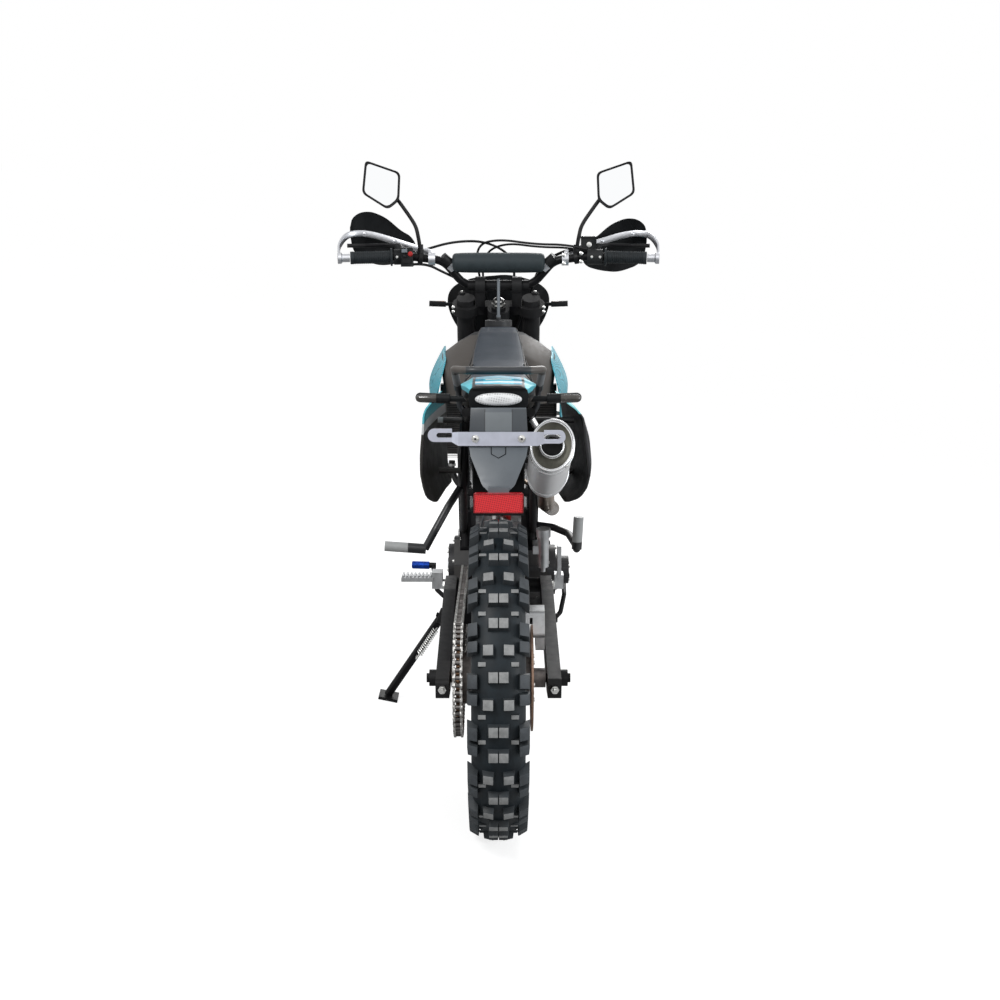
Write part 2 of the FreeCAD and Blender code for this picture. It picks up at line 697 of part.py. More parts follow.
def make_frame():
    """Steel frame: head tube, two beams, downtube and cradle, and the pivot plates."""
    pivot_y, pivot_z = size.swing_pivot_y, size.swing_pivot_z
    beam = size.frame_tube_radius
    cradle = size.cradle_radius
    neck = steered(0, -22, size.head_low + 34)
    tubes = [rod(HEAD_LOW, HEAD_HIGH, size.head_tube_radius)]
    tubes += frame_beams(beam)
    tubes.append(bent_tube([neck, (0, 988, 800), (0, 985, 560), (0, 972, 470)], beam, 160))
    for side in (-1, 1):
        low, high = sorted((side * 58, side * 70))
        tubes.append(side_plate([(550, 330), (612, 300), (622, 470), (628, 600), (590, 600), (552, 470)],
                                low, high, 8))
        low, high = sorted((side * 58, side * 98))
        tubes.append(side_plate([(592, 490), (624, 490), (632, 596), (600, 596)], low, high, 6))
        tubes.append(bent_tube([(0, 974, 500), (side * 50, 968, 430), (side * 64, 930, 290),
                                (side * 64, 690, 290), (side * 64, 590, 320)], cradle, 50))
    tubes.append(rod((-78, 606, 640), (78, 606, 640), size.subframe_radius))
    tubes.append(block((-64, 575, 325), (64, 600, 345)))
    for side in (-1, 1):
        tubes.append(rod((side * 60, PEG_Y, PEG_Z), (side * PEG_X, PEG_Y, PEG_Z), 8.5))
    for y in (700, 850):
        tubes.append(rod((-64, y, 290), (64, y, 290), 10))
    tubes.append(rod((64, PEDAL_Y, PEDAL_Z), (PEDAL_X - size.running_clearance, PEDAL_Y, PEDAL_Z), 8))
    stand, axis = stand_pivot()
    tubes.append(side_plate([(stand.y - 26, stand.z - 26), (stand.y + 30, stand.z - 26),
                             (stand.y + 30, stand.z + 12), (stand.y - 26, stand.z + 12)], -122, -60, 4))
    tubes.append(rod(stand + axis * (size.stand_eye_half + size.running_clearance), stand + axis * 34, 17))
    tubes.append(rod(stand - axis * (size.stand_eye_half + 6), stand + axis * (size.stand_eye_half + 4), 6))
    frame = fused(tubes)
    pin_end = size.swing_arm_inside + size.swing_arm_width + 8
    frame = frame.fuse(rod((-pin_end, pivot_y, pivot_z), (pin_end, pivot_y, pivot_z), 9))
    bore = size.stem_radius + size.bearing_clearance
    return frame.cut(rod(HEAD_LOW - STEER_UP, HEAD_HIGH + STEER_UP, bore))


def make_subframe(frame):
    """Rear subframe bolted to the beams: two seat rails, their braces and the cross tubes."""
    radius = size.subframe_radius
    tubes = []
    for side in (-1, 1):
        tubes.append(bent_tube([(side * 92, 690, 722), (side * 74, 620, 800), (side * 72, 300, 868),
                                (side * 66, -70, 935)], radius, 120))
        tubes.append(bent_tube([(side * 88, 604, 540), (side * 84, 400, 690), (side * 73, 210, 885)],
                               radius, 120))
    tubes.append(rod((-74, 560, 815), (74, 560, 815), radius))
    tubes.append(rod((-68, 20, 919), (68, 20, 919), radius))
    subframe = fused(tubes).cut(frame)
    return max(subframe.Solids, key=lambda solid: solid.Volume)


def make_engine():
    """Crankcase with its covers and front sprocket, and the cylinder leaning forward."""
    case = side_plate([(629, 338), (694, 300.3), (890, 300.3), (912, 370), (905, 460), (850, 512), (680, 512),
                       (629, 470)], -54, 54, 14)
    right = side_plate([(668, 330), (880, 325), (900, 390), (870, 470), (720, 490), (660, 430)], 50, 128, 20)
    left = side_plate([(690, 322), (880, 325), (900, 390), (870, 470), (760, 490), (728, 420), (716, 360),
                       (690, 352)], -118, -50, 12)
    clutch = rod((120, 745, 405), (150, 745, 405), 66)
    cap = rod((145, 722, 410), (185, 722, 410), 37)
    flywheel = rod((-112, 815, 400), (-134, 815, 400), 58)
    shaft = rod((-50, size.front_sprocket_y, size.front_sprocket_z),
                (-size.chain_place - 4, size.front_sprocket_y, size.front_sprocket_z), 12)
    wheel = rod((-size.chain_place - 4, size.front_sprocket_y, size.front_sprocket_z),
                (-size.chain_place + 4, size.front_sprocket_y, size.front_sprocket_z),
                pitch_radius(size.front_teeth) - size.roller_radius - size.running_clearance)
    crankcase = fused([case, right, left, clutch, cap, flywheel, shaft, wheel])
    add_piece("crankcase", crankcase)
    blocks = [block((-52, 735, 512.3), (52, 850, 640))]
    for i in range(6):
        blocks.append(block((-60, 726, 530 + 18 * i), (60, 859, 538 + 18 * i)))
    blocks.append(block((-58, 728, 640), (58, 858, 716)))
    blocks.append(block((-46, 742, 716), (46, 846, 752)))
    blocks.append(rod((0, 845, 680), (0, 872, 672), 26))
    tall = fused(blocks)
    throttle = rod((0, 735, 690), (0, 640, 706), 27)
    bowl = rod((0, 690, 690), (0, 690, 650), 22)
    add_piece("cylinder", fused([tall, throttle, bowl]))


def make_radiators(frame):
    """Two cores ahead of the cylinder, each held by an arm from the downtube."""
    pieces = []
    for side in (-1, 1):
        low, high = sorted((side * 98, side * 158))
        core = block((low, 912, 690), (high, 944, 880))
        arm = rod((side * 102, 928, 760), (0, 984, 760), 6).cut(frame)
        arm = max(arm.Solids, key=lambda solid: solid.Volume)
        pieces.append(fused([core, arm]))
    add_piece("radiators", Part.makeCompound(pieces))


def make_air_box():
    box = side_plate([(330, 700), (540, 650), (560, 700), (548, 800), (330, 850)], -58, 58, 14)
    boot = rod((0, 545, 722), (0, 639.7, 706.05), 29)
    add_piece("air_box", fused([box, boot]))


def make_shock(frame, swingarm):
    """Damper and spring from the linkage under the swingarm to the frame's cross tube."""
    low = Vector(0, 448, 376)
    high = Vector(0, 604, 636)
    span = (high - low).Length
    way = (high - low) * (1 / span)
    parts = [rod(low, high, 17)]
    turns = 8
    for i in range(turns):
        centre = low + way * (50 + i * (span - 90) / (turns - 1))
        parts.append(Part.makeTorus(28, 6.5, centre, way))
        parts.append(rod(centre - way * 3, centre + way * 3, 27))
    shock = fused(parts).cut([frame, swingarm])
    add_piece("shock_absorber", max(shock.Solids, key=lambda solid: solid.Volume))


# Exhaust

MUFFLER_REAR = Vector(108, -130, 876)


def muffler_axis():
    tilt = math.radians(size.muffler_tilt)
    return Vector(0, math.cos(tilt), -math.sin(tilt))


def oval(centre, grow, lean=8):
    """Oval face across the muffler's axis, leaning out at its top."""
    axis = muffler_axis()
    wide = size.muffler_half_width + grow
    high = size.muffler_half_height + grow
    curve = Part.Ellipse(Vector(0, 0, 0), high, wide)
    face = Part.Face(Part.Wire(curve.toShape()))
    up = Vector(math.sin(math.radians(lean)), 0, math.cos(math.radians(lean)))
    up = (up - axis * up.dot(axis)).normalize()
    side = axis.cross(up)
    face.Placement = Placement(centre, Rotation(up, side, axis, "XYZ"))
    return face


def make_muffler(frame):
    """Oval can with a recessed end cap and an outlet pipe."""
    axis = muffler_axis()
    can = oval(MUFFLER_REAR, 0).extrude(axis * size.muffler_length)
    recess = oval(MUFFLER_REAR - axis, -5).extrude(axis * 9)
    can = can.cut(recess)
    front = MUFFLER_REAR + axis * size.muffler_length
    cone_wires = [oval(front, 0).OuterWire, Part.Wire(Part.makeCircle(size.pipe_radius + 3, front + axis * size.muffler_cone, axis))]
    cone = Part.makeLoft(cone_wires, True, True)
    outlet = rod(MUFFLER_REAR + axis * 7, MUFFLER_REAR - axis * 2, size.outlet_radius + 2.5)
    hanger = rod((104, 40, 850), (70, 30, 908), 7).cut(frame)
    hanger = max(hanger.Solids, key=lambda solid: solid.Volume)
    can = fused([can, cone, outlet, hanger])
    can = can.cut(rod(MUFFLER_REAR + axis * 60, MUFFLER_REAR - axis * 4, size.outlet_radius))
    add_piece("muffler", can)


def make_exhaust_pipe():
    """Header from the cylinder's front, round the right side and back to the muffler."""
    axis = muffler_axis()
    end = MUFFLER_REAR + axis * (size.muffler_length + size.muffler_cone + size.running_clearance)
    points = [(0, 872.3, 671.9), (0, 915, 659.3), (62, 938, 600), (122, 880, 560), (138, 760, 570),
              (136, 600, 600), (118, 450, 640), end + axis * 60, end]
    add_piece("exhaust_pipe", bent_tube(points, size.pipe_radius, 60))


# Bodywork

def make_tank():
    """Tank over the frame beams, with its filler neck."""
    sections = [
        [(0, 985, 985), (34, 985, 978), (46, 985, 950), (40, 985, 915), (0, 985, 905)],
        [(0, 940, 1022), (60, 940, 1012), (96, 940, 968), (84, 940, 890), (0, 940, 872)],
        [(0, 880, 1036), (70, 880, 1026), (128, 880, 968), (118, 880, 860), (0, 880, 835)],
        [(0, 800, 1026), (72, 800, 1016), (142, 800, 960), (132, 800, 852), (0, 800, 830)],
        [(0, 700, 985), (70, 700, 975), (128, 700, 938), (120, 700, 855), (0, 700, 838)],
        [(0, 625, 930), (60, 625, 922), (96, 625, 905), (94, 625, 868), (0, 625, 860)],
    ]
    tank = skin(sections)
    tunnel = side_plate([(1010, 800), (1010, 985), (960, 948), (850, 868), (690, 862), (600, 856),
                         (600, 800)], -112, 112)
    tank = tank.cut([tunnel] + frame_beams(size.frame_tube_radius + size.running_clearance))
    tank = tank.cut(make_seat_shape(size.running_clearance))
    neck = rod((0, 882, 1000), (0, 882, 1040), 30)
    tank = tank.fuse(neck)
    tank = max(tank.Solids, key=lambda solid: solid.Volume)
    add_piece("fuel_tank", tank)
    return tank


def make_seat_shape(grow=0):
    """Long seat: narrow nose up the tank, a dip for the rider and a flat rear part."""
    nose = size.seat_nose_half_width + grow
    wide = size.seat_half_width + grow
    up = grow
    sections = [
        [(0, 842, 1042 + up), (nose * 0.7, 842, 1040 + up), (nose, 842, 1030), (nose * 0.8, 842, 1018 - up), (0, 842, 1016 - up)],
        [(0, 760, 1034 + up), (nose * 0.75, 760, 1031 + up), (nose * 1.1, 760, 1015), (nose * 0.9, 760, 990 - up), (0, 760, 985 - up)],
        [(0, 640, 1000 + up), (nose, 640, 994 + up), (nose * 1.5, 640, 968), (nose * 1.35, 640, 925 - up), (0, 640, 915 - up)],
        [(0, 500, 968 + up), (wide * 0.75, 500, 960 + up), (wide * 1.0, 500, 930), (wide * 0.9, 500, 888 - up), (0, 500, 880 - up)],
        [(0, 380, 956 + up), (wide * 0.8, 380, 950 + up), (wide * 1.06, 380, 925), (wide * 0.95, 380, 888 - up), (0, 380, 882 - up)],
        [(0, 240, 972 + up), (wide * 0.8, 240, 966 + up), (wide, 240, 942), (wide * 0.9, 240, 908 - up), (0, 240, 902 - up)],
        [(0, 80, 988 + up), (wide * 0.75, 80, 982 + up), (wide * 0.9, 80, 960), (wide * 0.8, 80, 940 - up), (0, 80, 938 - up)],
        [(0, -40, 990 + up), (wide * 0.6, -40, 986 + up), (wide * 0.72, -40, 972), (wide * 0.66, -40, 958 - up), (0, -40, 956 - up)],
    ]
    return skin(sections)


def make_fuel_cap():
    """Cap with its vent hose, which ends over the hole in the steering stem."""
    cap = rod((0, 882, 1040.3), (0, 882, 1056), 36)
    stub = rod((0, 882, 1054), (0, 882, 1070), 6)
    points = [(0, 882, 1062), (0, 885, 1096), (0, 893, 1135), (0, 915, 1158), steered(0, 0, 940),
              steered(0, 0, 905)]
    hose = bent_tube(points, size.hose_radius)
    add_piece("fuel_cap", fused([cap, stub, hose]))


def make_shrouds(tank):
    """Side shrouds that reach forward past the radiators."""
    outline = [(690, 905), (760, 800), (840, 715), (900, 690), (965, 735), (1050, 870), (1058, 935),
               (1000, 975), (860, 985), (740, 960)]
    band = [(152, 1065), (172, 960), (181, 860), (178, 770), (150, 680)]
    inner = [(x - size.panel_thickness - 1, y) for x, y in reversed(band)]
    shell = flat_plate(band + inner, 680, 990)
    shell = turned(shell, (178, 800, 900), Y_AXIS, -4)
    panel = shell.common(side_plate(outline, 100, 230, 24))
    front_stud = rod((158 + size.running_clearance, 928, 800), (179, 928, 800), 8)
    rear_stud = rod((130, 790, 930), (174, 790, 930), 8).cut(tank)
    rear_stud = max(rear_stud.Solids, key=lambda solid: solid.CenterOfMass.x)
    panel = fused([panel, front_stud, rear_stud])
    add_piece("tank_shrouds", pair(panel))


def make_side_panels(frame):
    """Number panels below the seat: the right one stands out round the muffler."""
    def panel(points, outline):
        inner = [(x - size.panel_thickness, z) for x, z in reversed(points)]
        shell = cross_plate(points + inner, 60, 560)
        shell = turned(shell, (150, 120, 850), Z_AXIS, 6)
        return shell.common(side_plate(outline, 60, 260, 30))

    outline = [(110, 918), (118, 760), (150, 716), (230, 742), (500, 705), (535, 790), (480, 868), (300, 892)]
    right = panel([(176, 925), (192, 905), (206, 830), (196, 770), (150, 700), (146, 600)], outline)
    left = panel([(146, 925), (160, 905), (166, 830), (160, 770), (140, 700), (136, 600)], outline)
    left = mirrored(left)
    right = fused([right, rod((72, 300, 868), (180, 300, 868), 7), rod((78, 470, 745), (160, 470, 745), 7)])
    left = fused([left, rod((-72, 300, 868), (-145, 300, 868), 7), rod((-78, 470, 745), (-124, 470, 745), 7)])
    add_piece("side_panels", Part.makeCompound([right.cut(frame), left.cut(frame)]))


def make_rear_fender(frame):
    """Inner fender over the tyre, curved from the air box to the tail."""
    arc = [(318, 640), (290, 740), (200, 822), (80, 866), (-60, 889), (-120, 899.4), (-205, 893.6)]
    inner = [(y, z - 5) for y, z in reversed(arc)]
    inner[-1] = (313, 640)
    inner[-2] = (285, 737)
    sheet_part = side_plate(arc + inner, -60, 60)
    sides = []
    for x in (-60, 56):
        sides.append(side_plate([(290, 735), (200, 818), (80, 862), (-60, 885), (-120, 895), (-200, 890), (-200, 868),
                                 (-60, 860), (80, 840), (190, 798), (270, 720)], x, x + 4))
    posts = [rod((side * 40, 20, 872), (side * 40, 20, 919), 6).cut(frame) for side in (-1, 1)]
    add_piece("rear_fender", fused([sheet_part] + sides + posts))


def make_tail(frame):
    """Tail cover behind the seat, the grey carrier with its flap, lamp, reflector and indicators."""
    cover = skin([
        [(0, -44, 1004), (52, -44, 1000), (78, -44, 982), (72, -44, 958), (0, -44, 953)],
        [(0, -120, 1008), (50, -120, 1004), (72, -120, 988), (64, -120, 964), (0, -120, 960)],
        [(0, -200, 1008), (38, -200, 1004), (58, -200, 994), (52, -200, 980), (0, -200, 976)],
    ])
    cover = cover.cut(frame)
    add_piece("tail_cover", cover)
    carrier = side_plate([(-100, 944), (-100, 958), (-150, 969), (-222, 982), (-226, 918), (-206, 893.9),
                          (-120, 899.7)], -54, 54, 5)
    lamp_room = cross_plate([(-46, 962), (46, 962), (46, 990), (-46, 990)], -260, -190, 8)
    carrier = carrier.cut([lamp_room, cover])
    stem = side_plate([(-200, 903), (-224, 905), (-262, 890), (-300, 815), (-292, 812), (-236, 884)], -40, 40, 3)
    flap = cross_plate([(-54, 892), (54, 892), (44, 840), (28, 812), (-28, 812), (-44, 840)], -320, -220, 4)
    stem = stem.common(flap)
    tongue = block((-20, -301 + size.running_clearance, 778), (20, -294, 818))
    carrier = fused([carrier, stem, tongue])
    add_piece("tail_carrier", carrier)
    lamp = cross_plate([(-45, 966), (-30, 963), (30, 963), (45, 966), (45, 980), (34, 988.5), (-34, 988.5),
                        (-45, 980)], -205, -190, 6)
    lamp = lamp.cut(cover).cut(carrier)
    biggest = max(lamp.Solids, key=lambda solid: solid.Volume)
    add_piece("tail_lamp", biggest)
    half = size.reflector_width / 2
    tall = size.reflector_height
    reflector = cross_plate([(-half, 774), (half, 774), (half, 774 + tall), (-half, 774 + tall)], -312, -301, 5)
    add_piece("rear_reflector", reflector)
    indicator = []
    for side in (-1, 1):
        stalk = rod((side * 54.3, -112, 968), (side * 100, -108, 968), 6)
        head = rod((side * 98, -108, 968), (side * 158, -104, 970), 10)
        end = Part.makeSphere(10, Vector(side * 158, -104, 970))
        whole = fused([stalk, head, end]).cut(cover)
        indicator.append(max(whole.Solids, key=lambda solid: solid.Volume))
    add_piece("rear_indicators", Part.makeCompound(indicator))
    return carrier


def make_plate_bracket(carrier):
    """Flat strip behind the carrier with a slotted ear at each end."""
    half = size.plate_slot_spacing / 2
    strip = block((-half - 30, -238, 893), (half + 22, -235, 920))
    slots = []
    for side in (-1, 1):
        centre = side * half
        reach = (size.plate_slot_length - size.plate_slot_width) / 2
        slots.append(block((centre - reach, -242, 906 - size.plate_slot_width / 2),
                           (centre + reach, -230, 906 + size.plate_slot_width / 2)))
        for end in (-1, 1):
            slots.append(rod((centre + end * reach, -242, 906), (centre + end * reach, -230, 906),
                             size.plate_slot_width / 2))
    strip = strip.cut(slots)
    bosses = [rod((x, -235.5, 906), (x, -206, 906), 6).cut(carrier) for x in (-45, 45)]
    bosses = [min(boss.Solids, key=lambda solid: solid.CenterOfMass.y) for boss in bosses]
    add_piece("plate_bracket", fused([strip] + bosses))


def make_grab_rail(frame):
    points = [(-86, 60, 968), (-92, 10, 1012), (-91, -60, 1022), (-60, -100, 1024), (60, -100, 1024),
              (91, -60, 1022), (92, 10, 1012), (86, 60, 968)]
    rail = bent_tube(points, size.rail_radius, 34)
    feet = []
    for side in (-1, 1):
        feet.append(bent_tube([(side * 86, 66, 972), (side * 84, 76, 930), (side * 72, 80, 910)], 6, 20))
    rail = fused([rail] + feet).cut(frame)
    add_piece("grab_rail", max(rail.Solids, key=lambda solid: solid.Volume))


# Foot controls, pegs and rear brake

def make_pegs(frame):
    """Rider pegs: the left one folded out, the right one folded up."""
    plate = block((-248, 572, 414), (-166, 612, 424))
    teeth = []
    for i in range(8):
        teeth.append(block((-246 + 10 * i, 572, 424), (-241 + 10 * i, 612, 430)))
    holder = block((-170, 578, 394), (-143, 622, 436))
    left = fused([plate, holder] + teeth)
    right = block((150, 574, 424), (160, 612, 506))
    foot = block((143, 578, 394), (166, 622, 430))
    right = fused([right, foot])
    add_piece("footpegs", Part.makeCompound([left, right]))
    left = rod((-172, 330, 556), (-269, 330, 563), 12)
    arm = bent_tube([(-92.5, 392, 690), (-118, 360, 655), (-150, 336, 600), (-174, 330, 556)], 9, 40)
    right = rod((185, 330, 556), (189, 330, 634), 12)
    link = bent_tube([(96, 585, 560), (138, 566, 558), (174, 520, 552), (185, 400, 552), (185, 330, 556)], 9, 40)
    pegs = Part.makeCompound([fused([left, arm]).cut(frame), fused([right, link]).cut(frame)])
    add_piece("passenger_pegs", pegs)


def make_foot_controls():
    """Gear lever on the left and brake pedal on the right."""
    lever = bent_tube([(-124, 706, 340), (-144, 706, 340), (-164, 732, 352), (-178, 828, 394)], 6, 12)
    toe = rod((-170, 828, 395), (-234, 828, 397), 8)
    pedal = bent_tube([(147, PEDAL_Y, PEDAL_Z), (162, 652, 312), (174, 710, 345), (176, 800, 372)], 6, 20)
    toe_pad = block((160, 790, 366), (192, 815, 380))
    pivot = rod((PEDAL_X, PEDAL_Y, PEDAL_Z), (PEDAL_X + 13, PEDAL_Y, PEDAL_Z), 12)
    shaft = rod((-118 - size.running_clearance, 706, 340), (-132, 706, 340), 8)
    add_piece("foot_controls", Part.makeCompound([fused([lever, toe, shaft]), fused([pedal, toe_pad, pivot])]))


def make_rear_brake(frame):
    """Caliper over the disc, and the master cylinder above the footpeg."""
    x = size.rear_disc_place
    half = size.disc_thickness / 2 + 1
    body = side_plate([(50, 420), (120, 400), (138, 440), (118, 478), (66, 474)], x - 12, x + 30, 10)
    gap = side_plate([(-200, 200), (300, 200), (300, 462), (-200, 462)], x - half, x + half)
    body = body.cut(gap)
    arm = side_plate([(70, 385), (130, 385), (130, 410), (70, 425)], x + 10, x + 30, 4)
    body = fused([body, arm])
    arm_top = side_plate([(-90, 300), (650, 300), (650, 443), (425, 433.4), (20, 377.4), (-90, 364)],
                         100, 140)
    body = body.cut(arm_top)
    cylinder = rod((112, 528, 466), (112, 516, 548), 14)
    rod_low = rod((112, 530, 452), (112, 528, 470), 6)
    tank = rod((112, 512, 546), (112, 510, 566), 18)
    tab = block((86, 514, 500), (112, 591.7, 520))
    master = fused([cylinder, rod_low, tank, tab]).cut(frame)
    add_piece("rear_brake", Part.makeCompound([body, master]))


# Side stand

def make_side_stand():
    """Leg with its foot plate level on the floor when the bike leans."""
    top, axis = stand_pivot()
    lean = math.radians(size.lean_angle)
    floor_up = Vector(math.sin(lean), 0, math.cos(lean))
    across = Vector(math.cos(lean), 0, -math.sin(lean))
    depth = -size.crown_half_flat * math.sin(lean)
    ankle_x = size.stand_foot_x
    ground = (depth - ankle_x * floor_up.x) / floor_up.z
    ankle = Vector(ankle_x, size.stand_foot_y, ground + 10)
    leg = rod(top - axis * 3, ankle, size.stand_radius)
    eye = rod(top - axis * size.stand_eye_half, top + axis * size.stand_eye_half, 20)
    plate = Part.makeBox(2 * size.stand_foot_half, 64, 8)
    frame = Placement(Vector(0, 0, 0), Rotation(across, Y_AXIS, floor_up, "XYZ"))
    plate.Placement = frame
    corner = Vector(ankle_x, size.stand_foot_y, ground) - across * size.stand_foot_half - Y_AXIS * 32
    plate.translate(corner)
    stand = fused([leg, eye, plate])
    return stand.cut(rod(top - axis * 30, top + axis * 30, 6 + size.bearing_clearance))


# Steering assembly

FORK_X = size.fork_spacing / 2


def yoke_plate(low, high, boss):
    """Yoke seen along the steering axis: two clamps and the stem boss."""
    offset = size.yoke_offset
    outer = size.fork_tube_radius + 12
    pieces = []
    for side in (-1, 1):
        pieces.append(Part.makeCylinder(outer, high - low, Vector(side * FORK_X, offset, low)))
    pieces.append(Part.makeBox(2 * FORK_X, 34, high - low, Vector(-FORK_X, offset - 17, low)))
    pieces.append(Part.makeCylinder(boss, high - low, Vector(0, 0, low)))
    pieces.append(Part.makeBox(60, offset, high - low, Vector(-30, 0, low)))
    return fused(pieces)


def make_yokes():
    gap = size.running_clearance
    low = yoke_plate(size.head_low - gap - size.low_yoke_thickness, size.head_low - gap, 32)
    high = yoke_plate(size.head_high + gap, size.head_high + gap + size.top_yoke_thickness, 30)
    stem = Part.makeCylinder(size.stem_radius, size.head_high - size.head_low + 60,
                             Vector(0, 0, size.head_low - 30))
    nut = Part.makeCylinder(19, 9, Vector(0, 0, size.head_high + gap + size.top_yoke_thickness))
    top = size.head_high + gap + size.top_yoke_thickness
    posts = []
    for side in (-1, 1):
        post = Part.makeBox(26, 40, BAR_UP - top, Vector(side * 50 - 13, size.bar_lead - 20, top))
        collar = Part.makeCylinder(24, 26, Vector(side * 50 - 13, size.bar_lead, BAR_UP), X_AXIS)
        posts.append(post)
        posts.append(collar)
    yokes = fused([low, high, stem, nut] + posts)
    holes = []
    for side in (-1, 1):
        holes.append(Part.makeCylinder(size.fork_tube_radius + size.bearing_clearance, 400,
                                       Vector(side * FORK_X, size.yoke_offset, 600)))
    holes.append(Part.makeCylinder(size.bar_centre_radius + size.bearing_clearance, 200,
                                   Vector(-100, size.bar_lead, BAR_UP), X_AXIS))
    holes.append(Part.makeCylinder(size.hose_radius + 3, 60, Vector(0, 0, size.head_high + 10)))
    yokes = yokes.cut(holes)
    yokes.Placement = STEER_PLACE
    return yokes



def make_fork():
    """Outer tubes held by the yokes, inner tubes with the axle lugs, and the guards over them."""
    gap = size.running_clearance
    tubes = []
    sliders = []
    guards = []
    for side in (-1, 1):
        place = Vector(side * FORK_X, size.yoke_offset, size.fork_tube_low)
        tube = Part.makeCylinder(size.fork_tube_radius, 
                                 size.head_high + size.fork_tube_rise - size.fork_tube_low, place)
        inner = Part.makeCylinder(size.fork_slider_radius + size.bearing_clearance, 190, place)
        tubes.append(tube.cut(inner))
        leg = Part.makeCylinder(size.fork_slider_radius, size.fork_tube_low + 180 + 20,
                                Vector(side * FORK_X, size.yoke_offset, -20))
        lug = Part.makeBox(2 * size.fork_slider_radius, 72, 60,
                           Vector(side * FORK_X - size.fork_slider_radius, size.yoke_offset - 14, -32))
        slider = fused([leg, lug])
        hole = Part.makeCylinder(size.axle_radius + size.bearing_clearance, 100,
                                 Vector(side * FORK_X - 50, size.yoke_offset + size.axle_lead, 0), X_AXIS)
        sliders.append(slider.cut(hole))
        outer = size.fork_tube_radius + 6
        shell = Part.makeCylinder(outer, 350, Vector(side * FORK_X, size.yoke_offset, 42))
        shell = shell.cut(Part.makeCylinder(outer - 4, 352, Vector(side * FORK_X, size.yoke_offset, 41)))
        behind = Part.makeBox(2 * outer + 2, 2 * outer, 352,
                              Vector(side * FORK_X - outer - 1, size.yoke_offset - 2 * outer - 4, 41))
        shell = shell.cut(behind)
        foot = Part.makeBox(30, outer - size.fork_slider_radius - gap, 26,
                            Vector(side * FORK_X - 15, size.yoke_offset + size.fork_slider_radius + gap, 44))
        guards.append(fused([shell, foot]))
    for label, shapes in (("fork_tubes", tubes), ("fork_sliders", sliders), ("fork_guards", guards)):
        shape = Part.makeCompound(shapes)
        shape.Placement = STEER_PLACE
        moved = Part.makeCompound([Part.Shape(s) for s in shape.Solids])
        add_piece(label, moved)


def make_front_axle():
    body = start_body("front_axle", FRONT_WHEEL)
    outside = "(Sizes.fork_spacing / 2 + Sizes.fork_slider_radius)"
    revolve(body, "front_axle_rod", [
        (f"-{outside} - 14", "Sizes.axle_bore_radius"),
        (f"{outside} + 14", "Sizes.axle_bore_radius"),
        (f"{outside} + 14", "Sizes.axle_radius + 7"),
        (f"{outside} + Sizes.running_clearance", "Sizes.axle_radius + 7"),
        (f"{outside} + Sizes.running_clearance", "Sizes.axle_radius"),
        (f"-{outside} - Sizes.running_clearance", "Sizes.axle_radius"),
        (f"-{outside} - Sizes.running_clearance", "Sizes.axle_radius + 7"),
        (f"-{outside} - 14", "Sizes.axle_radius + 7"),
    ])


def make_front_brake():
    """Caliper over the front disc, held by the left fork leg."""
    x = -size.front_disc_place
    half = size.disc_thickness / 2 + 1
    centre = steered(0, -16, 96)
    body = side_plate([(centre.y - 34, centre.z - 42), (centre.y + 14, centre.z - 46),
                       (centre.y + 30, centre.z + 30), (centre.y - 20, centre.z + 44)],
                      x - 9.5, x + 16, 10)
    reach = size.front_disc_radius + 2
    gap = Part.makeCylinder(reach, 2 * half, FRONT_AXLE + Vector(x - half, 0, 0), X_AXIS)
    body = body.cut(gap)
    leg = rod(steered(-FORK_X, size.yoke_offset, 0), steered(-FORK_X, size.yoke_offset, 200),
              size.fork_slider_radius + size.running_clearance)
    lug = rod(steered(-58, 0, 96), steered(-FORK_X + 8, 20, 96), 8)
    whole = fused([body, lug]).cut(leg)
    add_piece("front_brake", max(whole.Solids, key=lambda solid: solid.Volume))


def make_front_fender():
    """High fender under the lower yoke."""
    arc = [(1090, 762), (1150, 822), (1240, 860), (1380, 878), (1520, 872), (1640, 842), (1742, 790)]
    widths = [50, 58, 60, 62, 60, 52, 30]
    outer = []
    for (y, z), wide in zip(arc, widths):
        outer.append([(0, y, z + 6), (wide * 0.6, y, z + 2), (wide, y, z - 14), (wide - 4, y, z - 18), (wide * 0.58, y, z - 4), (0, y, z)])
    sections = []
    for section in outer:
        half = [Vector(p) for p in section]
        other = [Vector(-p.x, p.y, p.z) for p in reversed(half[1:-1])]
        ring = half + other
        sections.append(Part.makePolygon(ring + ring[:1]))
    fender = Part.makeLoft(sections, True, True)
    fender = shifted(fender, NOSE_SHIFT)
    mount = shifted(side_plate([(1090, 765), (1150, 825), (1150, 1000), (1090, 1000)], -24, 24), NOSE_SHIFT)
    lift = Part.makeBox(200, 300, 200)
    lift.Placement = Placement(STEER_PLACE.multVec(Vector(-100, -150, size.head_low - size.low_yoke_thickness
                                                          - 2 * size.running_clearance)),
                               Rotation(X_AXIS, size.rake_angle))
    add_piece("front_fender", fused([fender, mount.cut(lift)]))


